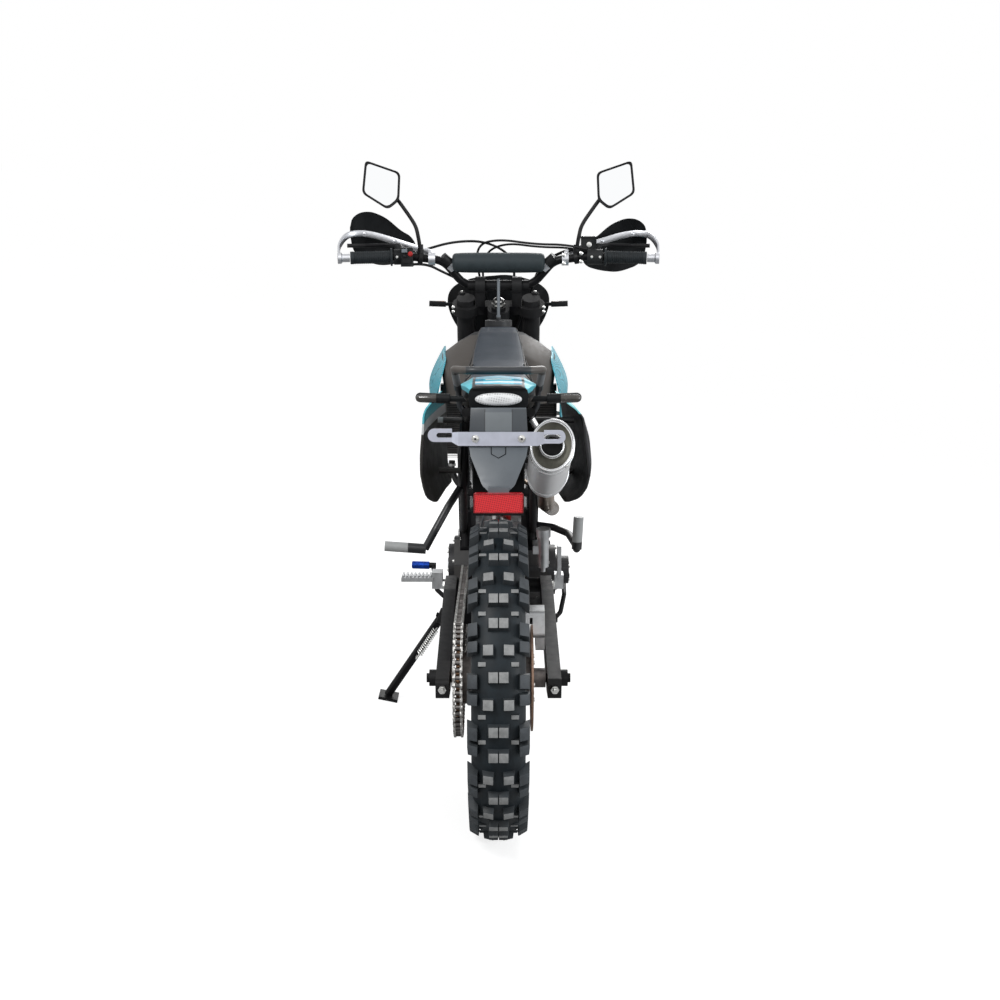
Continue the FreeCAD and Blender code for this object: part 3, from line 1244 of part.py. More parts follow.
def make_mask():
    """Headlamp mask with its lens, ahead of the fork."""
    mask = skin([
        [(0, 1122, 1166), (80, 1122, 1156), (138, 1122, 1120), (116, 1122, 1020), (64, 1122, 974), (0, 1122, 964)],
        [(0, 1150, 1158), (76, 1150, 1148), (122, 1150, 1108), (106, 1150, 1015), (60, 1150, 970), (0, 1150, 962)],
        [(0, 1196, 1124), (56, 1196, 1116), (88, 1196, 1080), (80, 1196, 1012), (44, 1196, 978), (0, 1196, 972)],
    ])
    opening = cross_plate([(-62, 1000), (62, 1000), (70, 1076), (-70, 1076)], 1160, 1260, 16)
    mask = shifted(mask.cut(opening), NOSE_SHIFT)
    arms = []
    for side in (-1, 1):
        tube = rod(steered(side * FORK_X, size.yoke_offset, 700), steered(side * FORK_X, size.yoke_offset, 860),
                   size.fork_tube_radius + size.running_clearance)
        arm = shifted(rod((side * FORK_X, 1040, 1040), (side * FORK_X, 1140, 1052), 7), NOSE_SHIFT).cut(tube)
        arms.append(max(arm.Solids, key=lambda solid: solid.CenterOfMass.y))
    mask = fused([mask] + arms)
    add_piece("headlight_mask", mask)
    lamp = cross_plate([(-61.7, 1000.3), (61.7, 1000.3), (69.7, 1075.7), (-69.7, 1075.7)], 1160.3, 1206, 16)
    add_piece("headlamp", shifted(lamp, NOSE_SHIFT))
    stalks = []
    for side in (-1, 1):
        stalk = rod((side * 118, 1098, 1086), (side * 150, 1098, 1086), 5)
        head = rod((side * 148, 1098, 1086), (side * 195, 1096, 1088), 8)
        root = rod((side * 118, 1098, 1086), (side * 110, 1130, 1080), 5)
        whole = shifted(fused([stalk, head, root]), NOSE_SHIFT).cut(mask)
        stalks.append(max(whole.Solids, key=lambda solid: solid.Volume))
    add_piece("front_indicators", Part.makeCompound(stalks))


def grip_points(side):
    """Centre line of one half of the handlebar, from the middle to the end."""
    return [on_bar(0, size.bar_lead, 0), on_bar(side * 92, size.bar_lead, 0),
            on_bar(side * 150, 40, 72), on_bar(side * 236, 34, 87),
            steered(side * (size.bar_half_width - 2), 17, BAR_UP + 92)]


def bar_tube(radius):
    """Handlebar from end to end, without its thick middle."""
    return bent_tube(list(reversed(grip_points(-1)))[:-1] + grip_points(1)[1:], radius, 60)


def make_handlebar():
    bar = bar_tube(size.bar_radius)
    thick = rod(on_bar(-84, size.bar_lead, 0), on_bar(84, size.bar_lead, 0), size.bar_centre_radius)
    cross = rod(on_bar(-142, 42, 64), on_bar(142, 42, 64), 7)
    clamps = [rod(on_bar(side * 118, 41, 49), on_bar(side * 152, 43, 81), 14) for side in (-1, 1)]
    add_piece("handlebar", fused([bar, thick, cross] + clamps))


def make_bar_pad():
    centre = on_bar(0, 42, 64)
    half = size.pad_length / 2
    pad_shape = rod(centre - X_AXIS * half, centre + X_AXIS * half, size.pad_radius)
    pad_shape = pad_shape.makeFillet(8, [e for e in pad_shape.Edges if abs(e.Length - 2 * math.pi * size.pad_radius) < 1])
    cross = rod(centre - X_AXIS * 200, centre + X_AXIS * 200, 7.3)
    clamps = [rod(on_bar(side * 118, 41, 49), on_bar(side * 152, 43, 81), 14.3) for side in (-1, 1)]
    shape = pad_shape.cut([cross, bar_tube(size.bar_radius + size.running_clearance)] + clamps)
    add_piece("bar_pad", max(shape.Solids, key=lambda solid: solid.Volume))


def bar_point(side, x):
    """Point on the bar's outer run at a distance from the middle."""
    start, end = grip_points(side)[3:]
    share = (x - abs(start.x)) / (abs(end.x) - abs(start.x))
    return start + (end - start) * share


def make_grips():
    pieces = []
    for side in (-1, 1):
        inner = bar_point(side, GRIP_START)
        outer = bar_point(side, size.bar_half_width)
        way = (outer - inner).normalize()
        body = rod(inner, outer, size.grip_radius)
        flange = rod(inner, inner + way * 5, size.grip_radius + 7)
        hollow = rod(inner - way, bar_point(side, size.bar_half_width - 1.7), size.bar_radius + 0.3)
        pieces.append(fused([body, flange]).cut(hollow))
    add_piece("grips", Part.makeCompound(pieces))


def make_bar_controls():
    """Switch cluster, throttle housing, lever perches and the brake reservoir."""
    pieces = []
    for side in (-1, 1):
        inner = bar_point(side, GRIP_START - 46)
        outer = bar_point(side, GRIP_START - 5)
        housing = rod(inner, outer, 21)
        perch = rod(bar_point(side, GRIP_START - 28), bar_point(side, GRIP_START - 14) + STEER_FORWARD * 46
                    + STEER_UP * 6, 11)
        shape = [housing, perch]
        if side > 0:
            base = bar_point(side, GRIP_START - 36) + STEER_FORWARD * 38 + STEER_UP * 12
            shape.append(block(base + Vector(-26, -24, -14), base + Vector(14, 22, 22)))
        else:
            base = bar_point(side, GRIP_START - 36)
            shape.append(block(base + Vector(-12, -24, -26), base + Vector(20, 20, 24)))
        whole = fused(shape)
        pieces.append(whole.cut(bar_tube(size.bar_radius + size.bearing_clearance)))
    add_piece("bar_controls", Part.makeCompound(pieces))


def make_levers():
    pieces = []
    for side in (-1, 1):
        start = bar_point(side, GRIP_START - 14) + STEER_FORWARD * 50.8 + STEER_UP * 6.4
        points = [start, start + Vector(side * 30, 14, 2), start + Vector(side * 90, 10, 0),
                  start + Vector(side * 140, 6, 0)]
        pieces.append(bent_tube(points, 5.5, 30))
    add_piece("levers", Part.makeCompound(pieces))


def make_hand_guards():
    """Wrap-round shields ahead of the grips."""
    pieces = []
    for side in (-1, 1):
        band = [(190, 1022), (240, 1052), (330, 1062), (400, 1046)]
        inner = [(x - 1, y - 4) for x, y in reversed(band)]
        shell = flat_plate([(x, y) for x, y in band + inner], 1140, 1330)
        outline = cross_plate([(196, 1256), (206, 1196), (300, 1176), (392, 1200), (410, 1290), (380, 1322), (240, 1318)],
                              900, 1100, 20)
        shield = shifted(shell.common(outline), BAR_SHIFT)
        stay = rod(Vector(204, 1024, 1240) + BAR_SHIFT, on_bar(188, 37, 80), 6)
        shield = shield.fuse(stay)
        shield = shield.cut(bar_tube(size.bar_radius + size.running_clearance))
        shield = max(shield.Solids, key=lambda solid: solid.Volume)
        pieces.append(shield if side > 0 else mirrored(shield))
    add_piece("hand_guards", Part.makeCompound(pieces))


def make_mirrors():
    backs = []
    glasses = []
    for side in (-1, 1):
        collar_start, collar_end = on_bar(side * 204, 36, 81), on_bar(side * 216, 35.2, 83.3)
        collar = rod(collar_start, collar_end, size.bar_radius + 5)
        root = (collar_start + collar_end) * 0.5
        face = [(258, 1352), (300, 1341), (340, 1378), (352, 1430), (338, 1456), (272, 1450), (252, 1420)]
        back = cross_plate([(side * x, z) for x, z in face], 952, 976, 14)
        inset = cross_plate([(side * (302 + (x - 302) * 0.93), 1398 + (z - 1398) * 0.92) for x, z in face],
                            951, 955, 12)
        glass = cross_plate([(side * (302 + (x - 302) * 0.925), 1398 + (z - 1398) * 0.91) for x, z in face],
                            952.3, 954.7, 12)
        stem = bent_tube([root - BAR_SHIFT, (side * 218, 950, 1290), (side * 232, 952, 1350),
                          (side * 290, 966, 1400)], 5.5, 40)
        head = shifted(fused([back, stem]).cut(inset), BAR_SHIFT)
        whole = fused([head, collar]).cut(bar_tube(size.bar_radius + size.bearing_clearance))
        backs.append(max(whole.Solids, key=lambda solid: solid.Volume))
        glasses.append(shifted(glass, BAR_SHIFT))
    add_piece("mirrors", Part.makeCompound(backs))
    add_piece("mirror_glasses", Part.makeCompound(glasses))


# Build

make_wheels()
make_chain()
make_rear_axle()
swingarm = make_swingarm()
front_frame = make_frame()
subframe = make_subframe(front_frame)
add_piece("frame", front_frame)
add_piece("rear_subframe", subframe)
frame = Part.makeCompound([front_frame, subframe])
make_engine()
make_radiators(frame)
make_air_box()
make_shock(frame, swingarm)
make_muffler(frame)
make_exhaust_pipe()
tank = make_tank()
add_piece("seat", make_seat_shape())
make_fuel_cap()
make_shrouds(tank)
make_side_panels(frame)
make_rear_fender(frame)
carrier = make_tail(frame)
make_plate_bracket(carrier)
make_grab_rail(frame)
make_pegs(frame)
make_foot_controls()
make_rear_brake(frame)
add_piece("side_stand", make_side_stand())
add_piece("yokes", make_yokes())
make_fork()
make_front_axle()
make_front_brake()
make_front_fender()
make_mask()
make_handlebar()
make_bar_pad()
make_grips()
make_bar_controls()
make_levers()
make_hand_guards()
make_mirrors()
doc.recompute()

# Lean on the stand and put the origin at the bottom centre of the outline

lean = Placement(Vector(0, 0, 0), Rotation(Y_AXIS, -size.lean_angle))
outline = FreeCAD.BoundBox()
for feature, place in PIECES:
    leaned = feature.Shape.copy()
    leaned.Placement = lean.multiply(place).multiply(leaned.Placement)
    outline.add(leaned.optimalBoundingBox(False, False))
drop = Vector(-outline.Center.x, -outline.Center.y, -outline.ZMin)
parked = Placement(drop, Rotation(Y_AXIS, -size.lean_angle))
for feature, place in PIECES:
    feature.Placement = parked.multiply(place).multiply(feature.Placement)
doc.recompute()

# Check every object and write the sub-parts

for item in doc.Objects:
    if "Invalid" in item.State or "Error" in item.State:
        raise SystemExit(f"{item.Name} failed: {item.State}")
os.makedirs("parts", exist_ok=True)
for feature, place in PIECES:
    shape = feature.Shape
    if shape.isNull() or not shape.isValid() or not shape.Solids:
        raise SystemExit(f"{feature.Label} has no valid shape")
for feature, place in PIECES:
    feature.Shape.exportStep(f"parts/{feature.Label}.step")
print("pieces", len(PIECES), "shift", drop, "size", outline.XLength, outline.YLength, outline.ZLength)


def in_row(point):
    """A point of the bike frame in the parked frame, in metres."""
    place = parked.multVec(Vector(point)) * 0.001
    return [round(place.x, 5), round(place.y, 5), round(place.z, 5)]


print("rear axle", in_row(REAR_AXLE), "front axle", in_row(FRONT_AXLE))
print("steering", in_row(STEER_BASE), in_row(steered(0, 0, size.head_high)))
print("stand", in_row(stand_pivot()[0]), in_row(stand_pivot()[0] - stand_pivot()[1] * 100))
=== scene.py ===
"""Looks of a dual sport motorcycle that leans on its side stand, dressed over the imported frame."""
import math

import bmesh
import bpy
from mathutils import Matrix, Vector


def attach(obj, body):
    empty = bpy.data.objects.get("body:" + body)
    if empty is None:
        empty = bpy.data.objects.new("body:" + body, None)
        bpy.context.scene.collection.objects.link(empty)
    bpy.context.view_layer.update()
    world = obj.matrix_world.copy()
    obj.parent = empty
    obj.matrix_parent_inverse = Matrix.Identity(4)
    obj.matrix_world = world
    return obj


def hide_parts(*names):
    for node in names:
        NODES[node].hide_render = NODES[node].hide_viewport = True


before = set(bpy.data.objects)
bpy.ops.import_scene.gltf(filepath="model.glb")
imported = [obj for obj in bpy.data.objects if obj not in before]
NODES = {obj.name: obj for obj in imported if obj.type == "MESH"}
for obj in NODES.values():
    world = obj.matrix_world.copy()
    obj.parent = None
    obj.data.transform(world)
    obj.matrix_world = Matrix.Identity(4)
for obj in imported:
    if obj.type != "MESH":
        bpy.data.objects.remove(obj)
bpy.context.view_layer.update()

# Bike frame in millimetres: x to the rider's right, y forward from the rear axle, z up

MILLIMETRE = 0.001
LEAN = math.radians(12)
SHIFT = (259.957, -713.5, 4.054)
TO_ROW = Matrix.Scale(MILLIMETRE, 4) @ Matrix.Translation(SHIFT) @ Matrix.Rotation(-LEAN, 4, "Y")
REAR_AXLE = Vector((0, 0, 345))
FRONT_AXLE = Vector((0, 1420, 352))
RAKE = math.radians(27)
STEER_UP = Vector((0, -math.sin(RAKE), math.cos(RAKE)))
STEER_FORWARD = Vector((0, math.cos(RAKE), math.sin(RAKE)))
STEER_BASE = FRONT_AXLE - STEER_FORWARD * 60
BAR_UP = 903
BAR_BEND = 236
BAR_END = 396
LEFT, RIGHT = Vector((-1, 0, 0)), Vector((1, 0, 0))
BACK, UP = Vector((0, -1, 0)), Vector((0, 0, 1))


def steered(x, forward, up):
    """Point of the steering assembly, ahead of and along the steering axis."""
    return STEER_BASE + STEER_FORWARD * forward + STEER_UP * up + Vector((x, 0, 0))


def on_bar(x, forward, up):
    """Point near the handlebar: up starts at the middle of the bar."""
    return steered(x, forward, BAR_UP + up)


def bar_point(side, x):
    """Point on the bar's outer run at a distance from the middle."""
    bend, end = steered(side * BAR_BEND, 34, 990), steered(side * BAR_END, 17, 995)
    return bend.lerp(end, (x - BAR_BEND) / (BAR_END - BAR_BEND))


# Ways to make a material

ZONE_EDGE = 1.0


def put(value, target):
    """Link a socket to another one, or set it to a plain value."""
    if isinstance(value, bpy.types.NodeSocket):
        target.id_data.links.new(value, target)
    elif target.type == "RGBA":
        target.default_value = (*value, 1)
    else:
        target.default_value = value


def feed(made, **values):
    """Give a node its sockets and settings by name, with _ for a space."""
    for key, value in values.items():
        name = key.replace("_", " ")
        if name in made.inputs:
            put(value, made.inputs[name])
        else:
            setattr(made, key, value)


def new_material(name, color, rough, metal=0.0, spec=0.5, coat=0.0):
    material = bpy.data.materials.new(name)
    material.use_nodes = True
    shader = material.node_tree.nodes["Principled BSDF"]
    feed(shader, Base_Color=color, Roughness=rough, Metallic=metal, Specular_IOR_Level=spec)
    if coat:
        feed(shader, Coat_Weight=coat, Coat_Roughness=0.08)
    return material, shader, material.node_tree


def node(tree, kind, *sockets, **values):
    """New node: its first sockets in their order, the others and its settings by name."""
    made = tree.nodes.new(f"ShaderNode{kind}")
    feed(made, **values)
    for value, target in zip(sockets, made.inputs):
        put(value, target)
    return made


def position(tree):
    return node(tree, "TexCoord").outputs["Object"]


def noise(tree, scale, detail, rough=0.5, place=None):
    """Cloudy noise by the object's own place, or by another one."""
    return node(tree, "TexNoise", Vector=place or position(tree), Scale=scale, Detail=detail,
                Roughness=rough).outputs["Fac"]


def cells(tree, scale, **values):
    return node(tree, "TexVoronoi", Vector=position(tree), Scale=scale, **values).outputs["Distance"]


def ramp(tree, source, stops):
    """Colour by a source: each stop is a place and a colour, or one number for a grey."""
    made = node(tree, "ValToRGB", source)
    points = made.color_ramp.elements
    while len(points) < len(stops):
        points.new(0.5)
    for point, (place, color) in zip(points, stops):
        point.position = place
        point.color = (*color, 1) if isinstance(color, tuple) else (color, color, color, 1)
    return made.outputs["Color"]


def bike_place(tree):
    """Place on the bike in metres, as separate x, y and z in the bike frame."""
    turned = node(tree, "Mapping", position(tree), Rotation=(0, LEAN, 0),
                  Location=Matrix.Rotation(LEAN, 3, "Y") @ Vector(SHIFT) * -MILLIMETRE)
    return node(tree, "SeparateXYZ", turned.outputs["Vector"]).outputs


def inside(tree, place, limits):
    """Factor that is 1 within the limits, given in millimetres as {axis: (low, high)}."""
    factor = None
    for axis, edges in limits.items():
        for edge, sign in zip(edges, (1, -1)):
            if edge is None:
                continue
            soft = sign * ZONE_EDGE
            rise = node(tree, "MapRange", place[axis], From_Min=(edge - soft) * MILLIMETRE,
                        From_Max=(edge + soft) * MILLIMETRE).outputs["Result"]
            if factor is not None:
                rise = node(tree, "Math", factor, rise, operation="MULTIPLY").outputs[0]
            factor = rise
    return factor


def mixed(tree, factor, first, second, blend="MIX"):
    """Colour mix: each colour is a socket or three numbers, and the factor a socket or a number."""
    return node(tree, "Mix", data_type="RGBA", blend_type=blend, Factor=factor, A=first,
                B=second).outputs["Result"]


def zoned(name, base, zones, rough=0.45, spread=0.15, scale=40.0, lines=None):
    """Plastic whose colour changes by place: zones are pairs of limits and a colour."""
    material, shader, tree = new_material(name, base, rough)
    place = bike_place(tree)
    color = base
    for limits, tone in zones:
        color = mixed(tree, inside(tree, place, limits), color, tone)
    cloud = noise(tree, scale, 7.0, 0.65)
    color = mixed(tree, 1.0, color, ramp(tree, cloud, [(0.3, 1 - spread), (0.7, 1)]), "MULTIPLY")
    if lines:
        color = mixed(tree, 0.85, color, fine_lines(tree, lines), "MULTIPLY")
    gloss = ramp(tree, cloud, [(0.3, max(rough - 0.1, 0.05)), (0.7, rough + 0.1)])
    feed(shader, Base_Color=color, Roughness=gloss)
    bump(shader, noise(tree, 1200.0, 3.0), 0.25, 0.0002)
    return material


def fine_lines(tree, scale):
    """Close dark contour lines of a printed pattern, as a tint to multiply by."""
    heights = noise(tree, scale, 1.0, 0.3)
    waves = node(tree, "Math", heights, 26.0, operation="MULTIPLY").outputs[0]
    part = node(tree, "Math", waves, operation="FRACT").outputs[0]
    return ramp(tree, part, [(0.0, (0.06, 0.12, 0.16)), (0.3, (0.55, 0.7, 0.75)), (0.55, 1)])


def bump(shader, height, strength, distance):
    made = node(shader.id_data, "Bump", Strength=strength, Distance=distance, Height=height)
    feed(shader, Normal=made.outputs["Normal"])


def mottled(name, color, rough, metal=0.0, spread=0.35, scale=60.0, grain=900.0, depth=0.00015,
            strength=0.25, spec=0.5, coat=0.0, edge=0.0, dust=None):
    """Finish with uneven colour and roughness, a fine grain, worn edges and dust in the hollows."""
    material, shader, tree = new_material(name, color, rough, metal, spec, coat)
    cloud = noise(tree, scale, 6.0, 0.6)
    low = tuple(c * (1 - spread) for c in color)
    high = tuple(min(c * (1 + spread), 1) for c in color)
    tint = ramp(tree, cloud, [(0.3, low), (0.7, high)])
    bend = node(tree, "NewGeometry").outputs["Pointiness"]
    if edge:
        tint = mixed(tree, 1.0, tint, ramp(tree, bend, [(0.52, 0), (0.58, edge)]), "ADD")
    if dust:
        tint = mixed(tree, ramp(tree, bend, [(0.42, 1), (0.49, 0)]), tint, dust)
    gloss = ramp(tree, cloud, [(0.3, max(rough - 0.08, 0.02)), (0.7, min(rough + 0.1, 1))])
    feed(shader, Base_Color=tint, Roughness=gloss)
    bump(shader, noise(tree, grain, 3.0), strength, depth)
    return material


def brushed(name, color, rough, scale, spread=0.12, stretch=(1, 1, 1)):
    """Metal with fine lines from its finishing, packed together along the axis of a large stretch."""
    material, shader, tree = new_material(name, color, rough, 1.0)
    place = node(tree, "Mapping", position(tree), Scale=stretch).outputs["Vector"]
    lines = noise(tree, scale, 5.0, 0.7, place)
    low = tuple(c * (1 - spread) for c in color)
    feed(shader, Base_Color=ramp(tree, lines, [(0.3, low), (0.7, color)]),
         Roughness=ramp(tree, lines, [(0.25, rough - 0.08), (0.75, rough + 0.12)]))
    bump(shader, lines, 0.12, 0.0001)
    return material


def seat_material():
    """Vinyl: slate grip panel on top, grey-brown sides, with a grain."""
    material, shader, tree = new_material("seat_vinyl", (0.05, 0.06, 0.07), 0.55, spec=0.22)
    panel = node(tree, "Attribute", attribute_name="panel").outputs["Fac"]
    cloud = noise(tree, 25.0, 6.0)
    top = ramp(tree, cloud, [(0.3, (0.028, 0.036, 0.048)), (0.7, (0.043, 0.054, 0.070))])
    side = ramp(tree, cloud, [(0.3, (0.052, 0.046, 0.042)), (0.7, (0.082, 0.074, 0.068))])
    feed(shader, Base_Color=mixed(tree, panel, side, top))
    bump(shader, cells(tree, 700.0), 0.35, 0.0003)
    return material


def lens_material(name, color, rough, prisms):
    """Moulded lens with rows of small prisms."""
    material, shader, tree = new_material(name, color, rough, coat=0.6)
    grid = cells(tree, prisms, distance="CHEBYCHEV", Randomness=0.0)
    low = tuple(c * 0.45 for c in color)
    feed(shader, Base_Color=ramp(tree, grid, [(0.1, low), (0.5, color)]), IOR=1.49)
    bump(shader, grid, 0.6, 0.001)
    return material


# The materials

RUBBER = mottled("rubber", (0.010, 0.015, 0.019), 0.5, spec=0.25, spread=0.4, scale=35, grain=700,
                 depth=0.0003, edge=0.035, dust=(0.05, 0.052, 0.05))
# Lighter grey tops of the tread blocks and bluish tops of the edge knobs: painted sheen that stands for
# light reflected off the tread.
KNOB_TOP_SHEEN = mottled("knob_top_sheen", (0.27, 0.275, 0.275), 0.62, spread=0.25, scale=80, grain=500, depth=0.0004,
                   strength=0.6)
EDGE_TOP_SHEEN = mottled("edge_top_sheen", (0.048, 0.055, 0.062), 0.6, spread=0.3, scale=80, grain=500, depth=0.0004,
                   strength=0.6)
BLACK_PAINT = mottled("black_paint", (0.006, 0.006, 0.007), 0.42, spread=0.3, grain=400, depth=0.00008,
                      spec=0.14, edge=0.015)
BLACK_PLASTIC = mottled("black_plastic", (0.008, 0.009, 0.010), 0.5, grain=1600, depth=0.0002, spec=0.14,
                        edge=0.015)
FRAME_PAINT = mottled("frame_paint", (0.007, 0.007, 0.008), 0.42, grain=300, depth=0.0001, spec=0.14,
                      edge=0.015)
ENGINE_BLACK = mottled("engine_black", (0.02, 0.02, 0.022), 0.5, grain=500, depth=0.0004, edge=0.04,
                       dust=(0.045, 0.042, 0.038))
CAST_ALLOY = mottled("cast_alloy", (0.52, 0.53, 0.54), 0.42, 1.0, spread=0.15, grain=420, depth=0.0004,
                     strength=0.4)
POLISHED = brushed("polished_alloy", (0.78, 0.79, 0.80), 0.2, 30, stretch=(60, 1, 1))
BRUSHED_CAN = brushed("brushed_can", (0.95, 0.95, 0.96), 0.5, 30, 0.06, (1, 60, 1))
STEEL = brushed("steel", (0.5, 0.5, 0.5), 0.3, 120)
DARK_STEEL = mottled("dark_steel", (0.16, 0.15, 0.145), 0.42, 1.0, spread=0.4, grain=800)
CHAIN_STEEL = mottled("chain_steel", (0.52, 0.51, 0.49), 0.33, 1.0, spread=0.4, scale=120, edge=0.15,
                      dust=(0.05, 0.04, 0.03))
BRONZE = brushed("bronze", (0.36, 0.22, 0.14), 0.36, 90, 0.3)
DISC_STEEL = brushed("disc_steel", (0.46, 0.30, 0.22), 0.3, 140, 0.35)
PIPE_STEEL = mottled("pipe_steel", (0.34, 0.27, 0.21), 0.3, 1.0, spread=0.5, scale=9, grain=500)
GRIP_RUBBER = mottled("grip_rubber", (0.016, 0.020, 0.023), 0.6, grain=900, depth=0.0003, spec=0.3)
PAD_FOAM = mottled("pad_vinyl", (0.030, 0.040, 0.045), 0.55, spread=0.1, grain=2200, depth=0.0003,
                   strength=0.5, spec=0.25)
CABLE_BLACK = mottled("cable_black", (0.010, 0.010, 0.011), 0.45, grain=500, spec=0.2)
HOSE_GREY = mottled("hose_grey", (0.16, 0.18, 0.2), 0.4, grain=500)
RED_SWITCH = mottled("red_switch", (0.5, 0.02, 0.02), 0.35)
BLUE_TIP = mottled("blue_tip", (0.01, 0.06, 0.4), 0.3, 0.8)
BRACKET_STEEL = mottled("bracket_steel", (0.56, 0.58, 0.67), 0.36, 0.25, spread=0.05, grain=600)
AMBER = mottled("amber_lens", (0.034, 0.030, 0.026), 0.2, coat=0.5)
FRONT_AMBER = mottled("front_amber", (0.75, 0.22, 0.02), 0.2)
SEAT = seat_material()
PALE_BLUE = (0.12, 0.60, 0.72)
DEEP_BLUE = (0.03, 0.33, 0.50)
WARM_GREY = (0.082, 0.072, 0.064)
# Near-black: the colour of black plastic, and painted shade where it darkens the lower shroud.
NEAR_BLACK_AND_SHADE = (0.014, 0.015, 0.017)
PEG_GREY = (0.42, 0.43, 0.43)
# Near-black below z 745 is partly the shroud's black plastic and partly painted shade on its lower part.
SHROUD_BLUE = zoned("shroud_blue", (0.10, 0.52, 0.64), [
    ({"Z": (955, None)}, (0.16, 0.58, 0.70)), ({"Z": (None, 745)}, NEAR_BLACK_AND_SHADE)], 0.42, lines=9.0)
TAIL_BLUE = zoned("tail_blue", DEEP_BLUE, [
    # The near-white band across the top at y -180 to -166 and the near-white patch in the middle at y -140
    # to -122 are painted highlights.
    ({"X": (-30, 30), "Y": (-190, -90)}, (0.04, 0.52, 0.70)), ({"Y": (-180, -166)}, (0.78, 0.86, 0.88)),
    ({"X": (-26, 26), "Y": (-140, -122)}, (0.80, 0.88, 0.90)), ({"Y": (-210, -189)}, NEAR_BLACK_AND_SHADE),
    ({"X": (46, 52)}, NEAR_BLACK_AND_SHADE), ({"X": (-52, -46)}, NEAR_BLACK_AND_SHADE), ({"X": (52, None), "Z": (986, None)}, PALE_BLUE),
    ({"X": (None, -52), "Z": (986, None)}, PALE_BLUE), ({"Z": (None, 986)}, NEAR_BLACK_AND_SHADE)], 0.45)
SIDE_PLASTIC = zoned("side_plastic", NEAR_BLACK_AND_SHADE, [
    ({"X": (None, 0), "Z": (None, 866)}, (0.034, 0.031, 0.029)),
    ({"X": (None, -128), "Z": (862, 886)}, (0.80, 0.83, 0.84)),
    ({"X": (None, -110), "Z": (886, None)}, PALE_BLUE),
    ({"X": (110, None), "Z": (908, None)}, (0.22, 0.70, 0.74))], 0.42)
TANK_PLASTIC = zoned("tank_plastic", NEAR_BLACK_AND_SHADE, [({"Y": (None, 835), "Z": (840, None)}, WARM_GREY)], 0.6,
                     spread=0.35, scale=90)
CARRIER_GREY = zoned("carrier_grey", (0.105, 0.120, 0.135), [
    ({"X": (27, None), "Z": (912, 962)}, (0.055, 0.063, 0.072)),
    ({"X": (None, -27), "Z": (912, 962)}, (0.055, 0.063, 0.072)),
    ({"X": (25.5, 27.5), "Z": (912, 962)}, NEAR_BLACK_AND_SHADE), ({"X": (-27.5, -25.5), "Z": (912, 962)}, NEAR_BLACK_AND_SHADE),
    ({"X": (-26, 26), "Z": (912, 956)}, (0.16, 0.178, 0.19)), ({"Z": (966, None)}, NEAR_BLACK_AND_SHADE)], 0.42, 0.08)
CAP_PLASTIC = zoned("cap_plastic", NEAR_BLACK_AND_SHADE, [({"Z": (1064, None)}, (0.15, 0.17, 0.19))], 0.5)
RAIL_PAINT = zoned("rail_paint", (0.020, 0.023, 0.027), [
    ({"X": (66, None), "Z": (1000, None)}, WARM_GREY), ({"X": (None, -66), "Z": (1000, None)}, WARM_GREY),
    ({"Z": (None, 1004), "Y": (None, 40)}, (0.19, 0.20, 0.21))], 0.45)
PEG_PAINT = zoned("peg_paint", NEAR_BLACK_AND_SHADE, [({"X": (None, -214)}, PEG_GREY),
                                      ({"X": (100, None), "Z": (574, None)}, PEG_GREY)], 0.4)
OLIVE_METAL = mottled("olive_metal", (0.085, 0.082, 0.066), 0.5, 0.6, spread=0.4, scale=30)
# Near-black for the bolt sockets: painted shade.
SOCKET_SHADE = mottled("socket_shade", (0.03, 0.03, 0.03), 0.5, 0.8)
RED_RIM = mottled("red_rim", (0.30, 0.010, 0.014), 0.25)
# Near-black for the disc inside the silencer's outlet: painted shade.
OUTLET_SHADE = mottled("outlet_shade", (0.004, 0.004, 0.004), 0.9)
BRIGHT_BOLT = brushed("bright_bolt", (0.82, 0.82, 0.80), 0.25, 200, 0.08)
SOOT_PLASTIC = mottled("soot_plastic", (0.007, 0.008, 0.009), 0.55, spread=0.3, grain=900, spec=0.14)
STRAP_ALLOY = brushed("strap_alloy", (0.62, 0.63, 0.66), 0.34, 50, 0.1)
RED_LENS = lens_material("red_reflector", (0.86, 0.025, 0.035), 0.12, 240)
CLEAR_LENS = lens_material("clear_lens", (0.80, 0.82, 0.82), 0.1, 300)
SPARKLE = lens_material("sparkle_lens", (0.92, 0.93, 0.94), 0.16, 210)
HEAD_LENS = lens_material("headlamp_lens", (0.85, 0.88, 0.9), 0.05, 120)
MIRROR = new_material("mirror_glass", (0.96, 0.97, 0.98), 0.015, 1.0)[0]


# Mesh helpers, all in the bike frame

def new_object(name, data):
    made = bpy.data.objects.new(name, data)
    bpy.context.scene.collection.objects.link(made)
    return made


def modified(made, kind, **settings):
    """Give an object a modifier and apply it."""
    modifier = made.modifiers.new(kind, kind)
    for key, value in settings.items():
        setattr(modifier, key, value)
    graph = bpy.context.evaluated_depsgraph_get()
    data = bpy.data.meshes.new_from_object(made.evaluated_get(graph))
    old = made.data
    made.modifiers.clear()
    made.data = data
    bpy.data.meshes.remove(old)


def finish_mesh(name, mesh, body, material, smooth=35, bevel=0.0):
    """Object from a bmesh in the bike frame, riding on a body."""
    bmesh.ops.recalc_face_normals(mesh, faces=mesh.faces)
    data = bpy.data.meshes.new(name)
    mesh.to_mesh(data)
    mesh.free()
    data.transform(TO_ROW)
    made = new_object(name, data)
    for one in material if isinstance(material, list) else [material]:
        data.materials.append(one)
    if bevel:
        modified(made, "BEVEL", width=bevel * MILLIMETRE, segments=2, limit_method="ANGLE",
                 angle_limit=math.radians(40))
    made.data.shade_smooth()
    made.data.set_sharp_from_angle(angle=math.radians(smooth))
    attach(made, body)
    return made


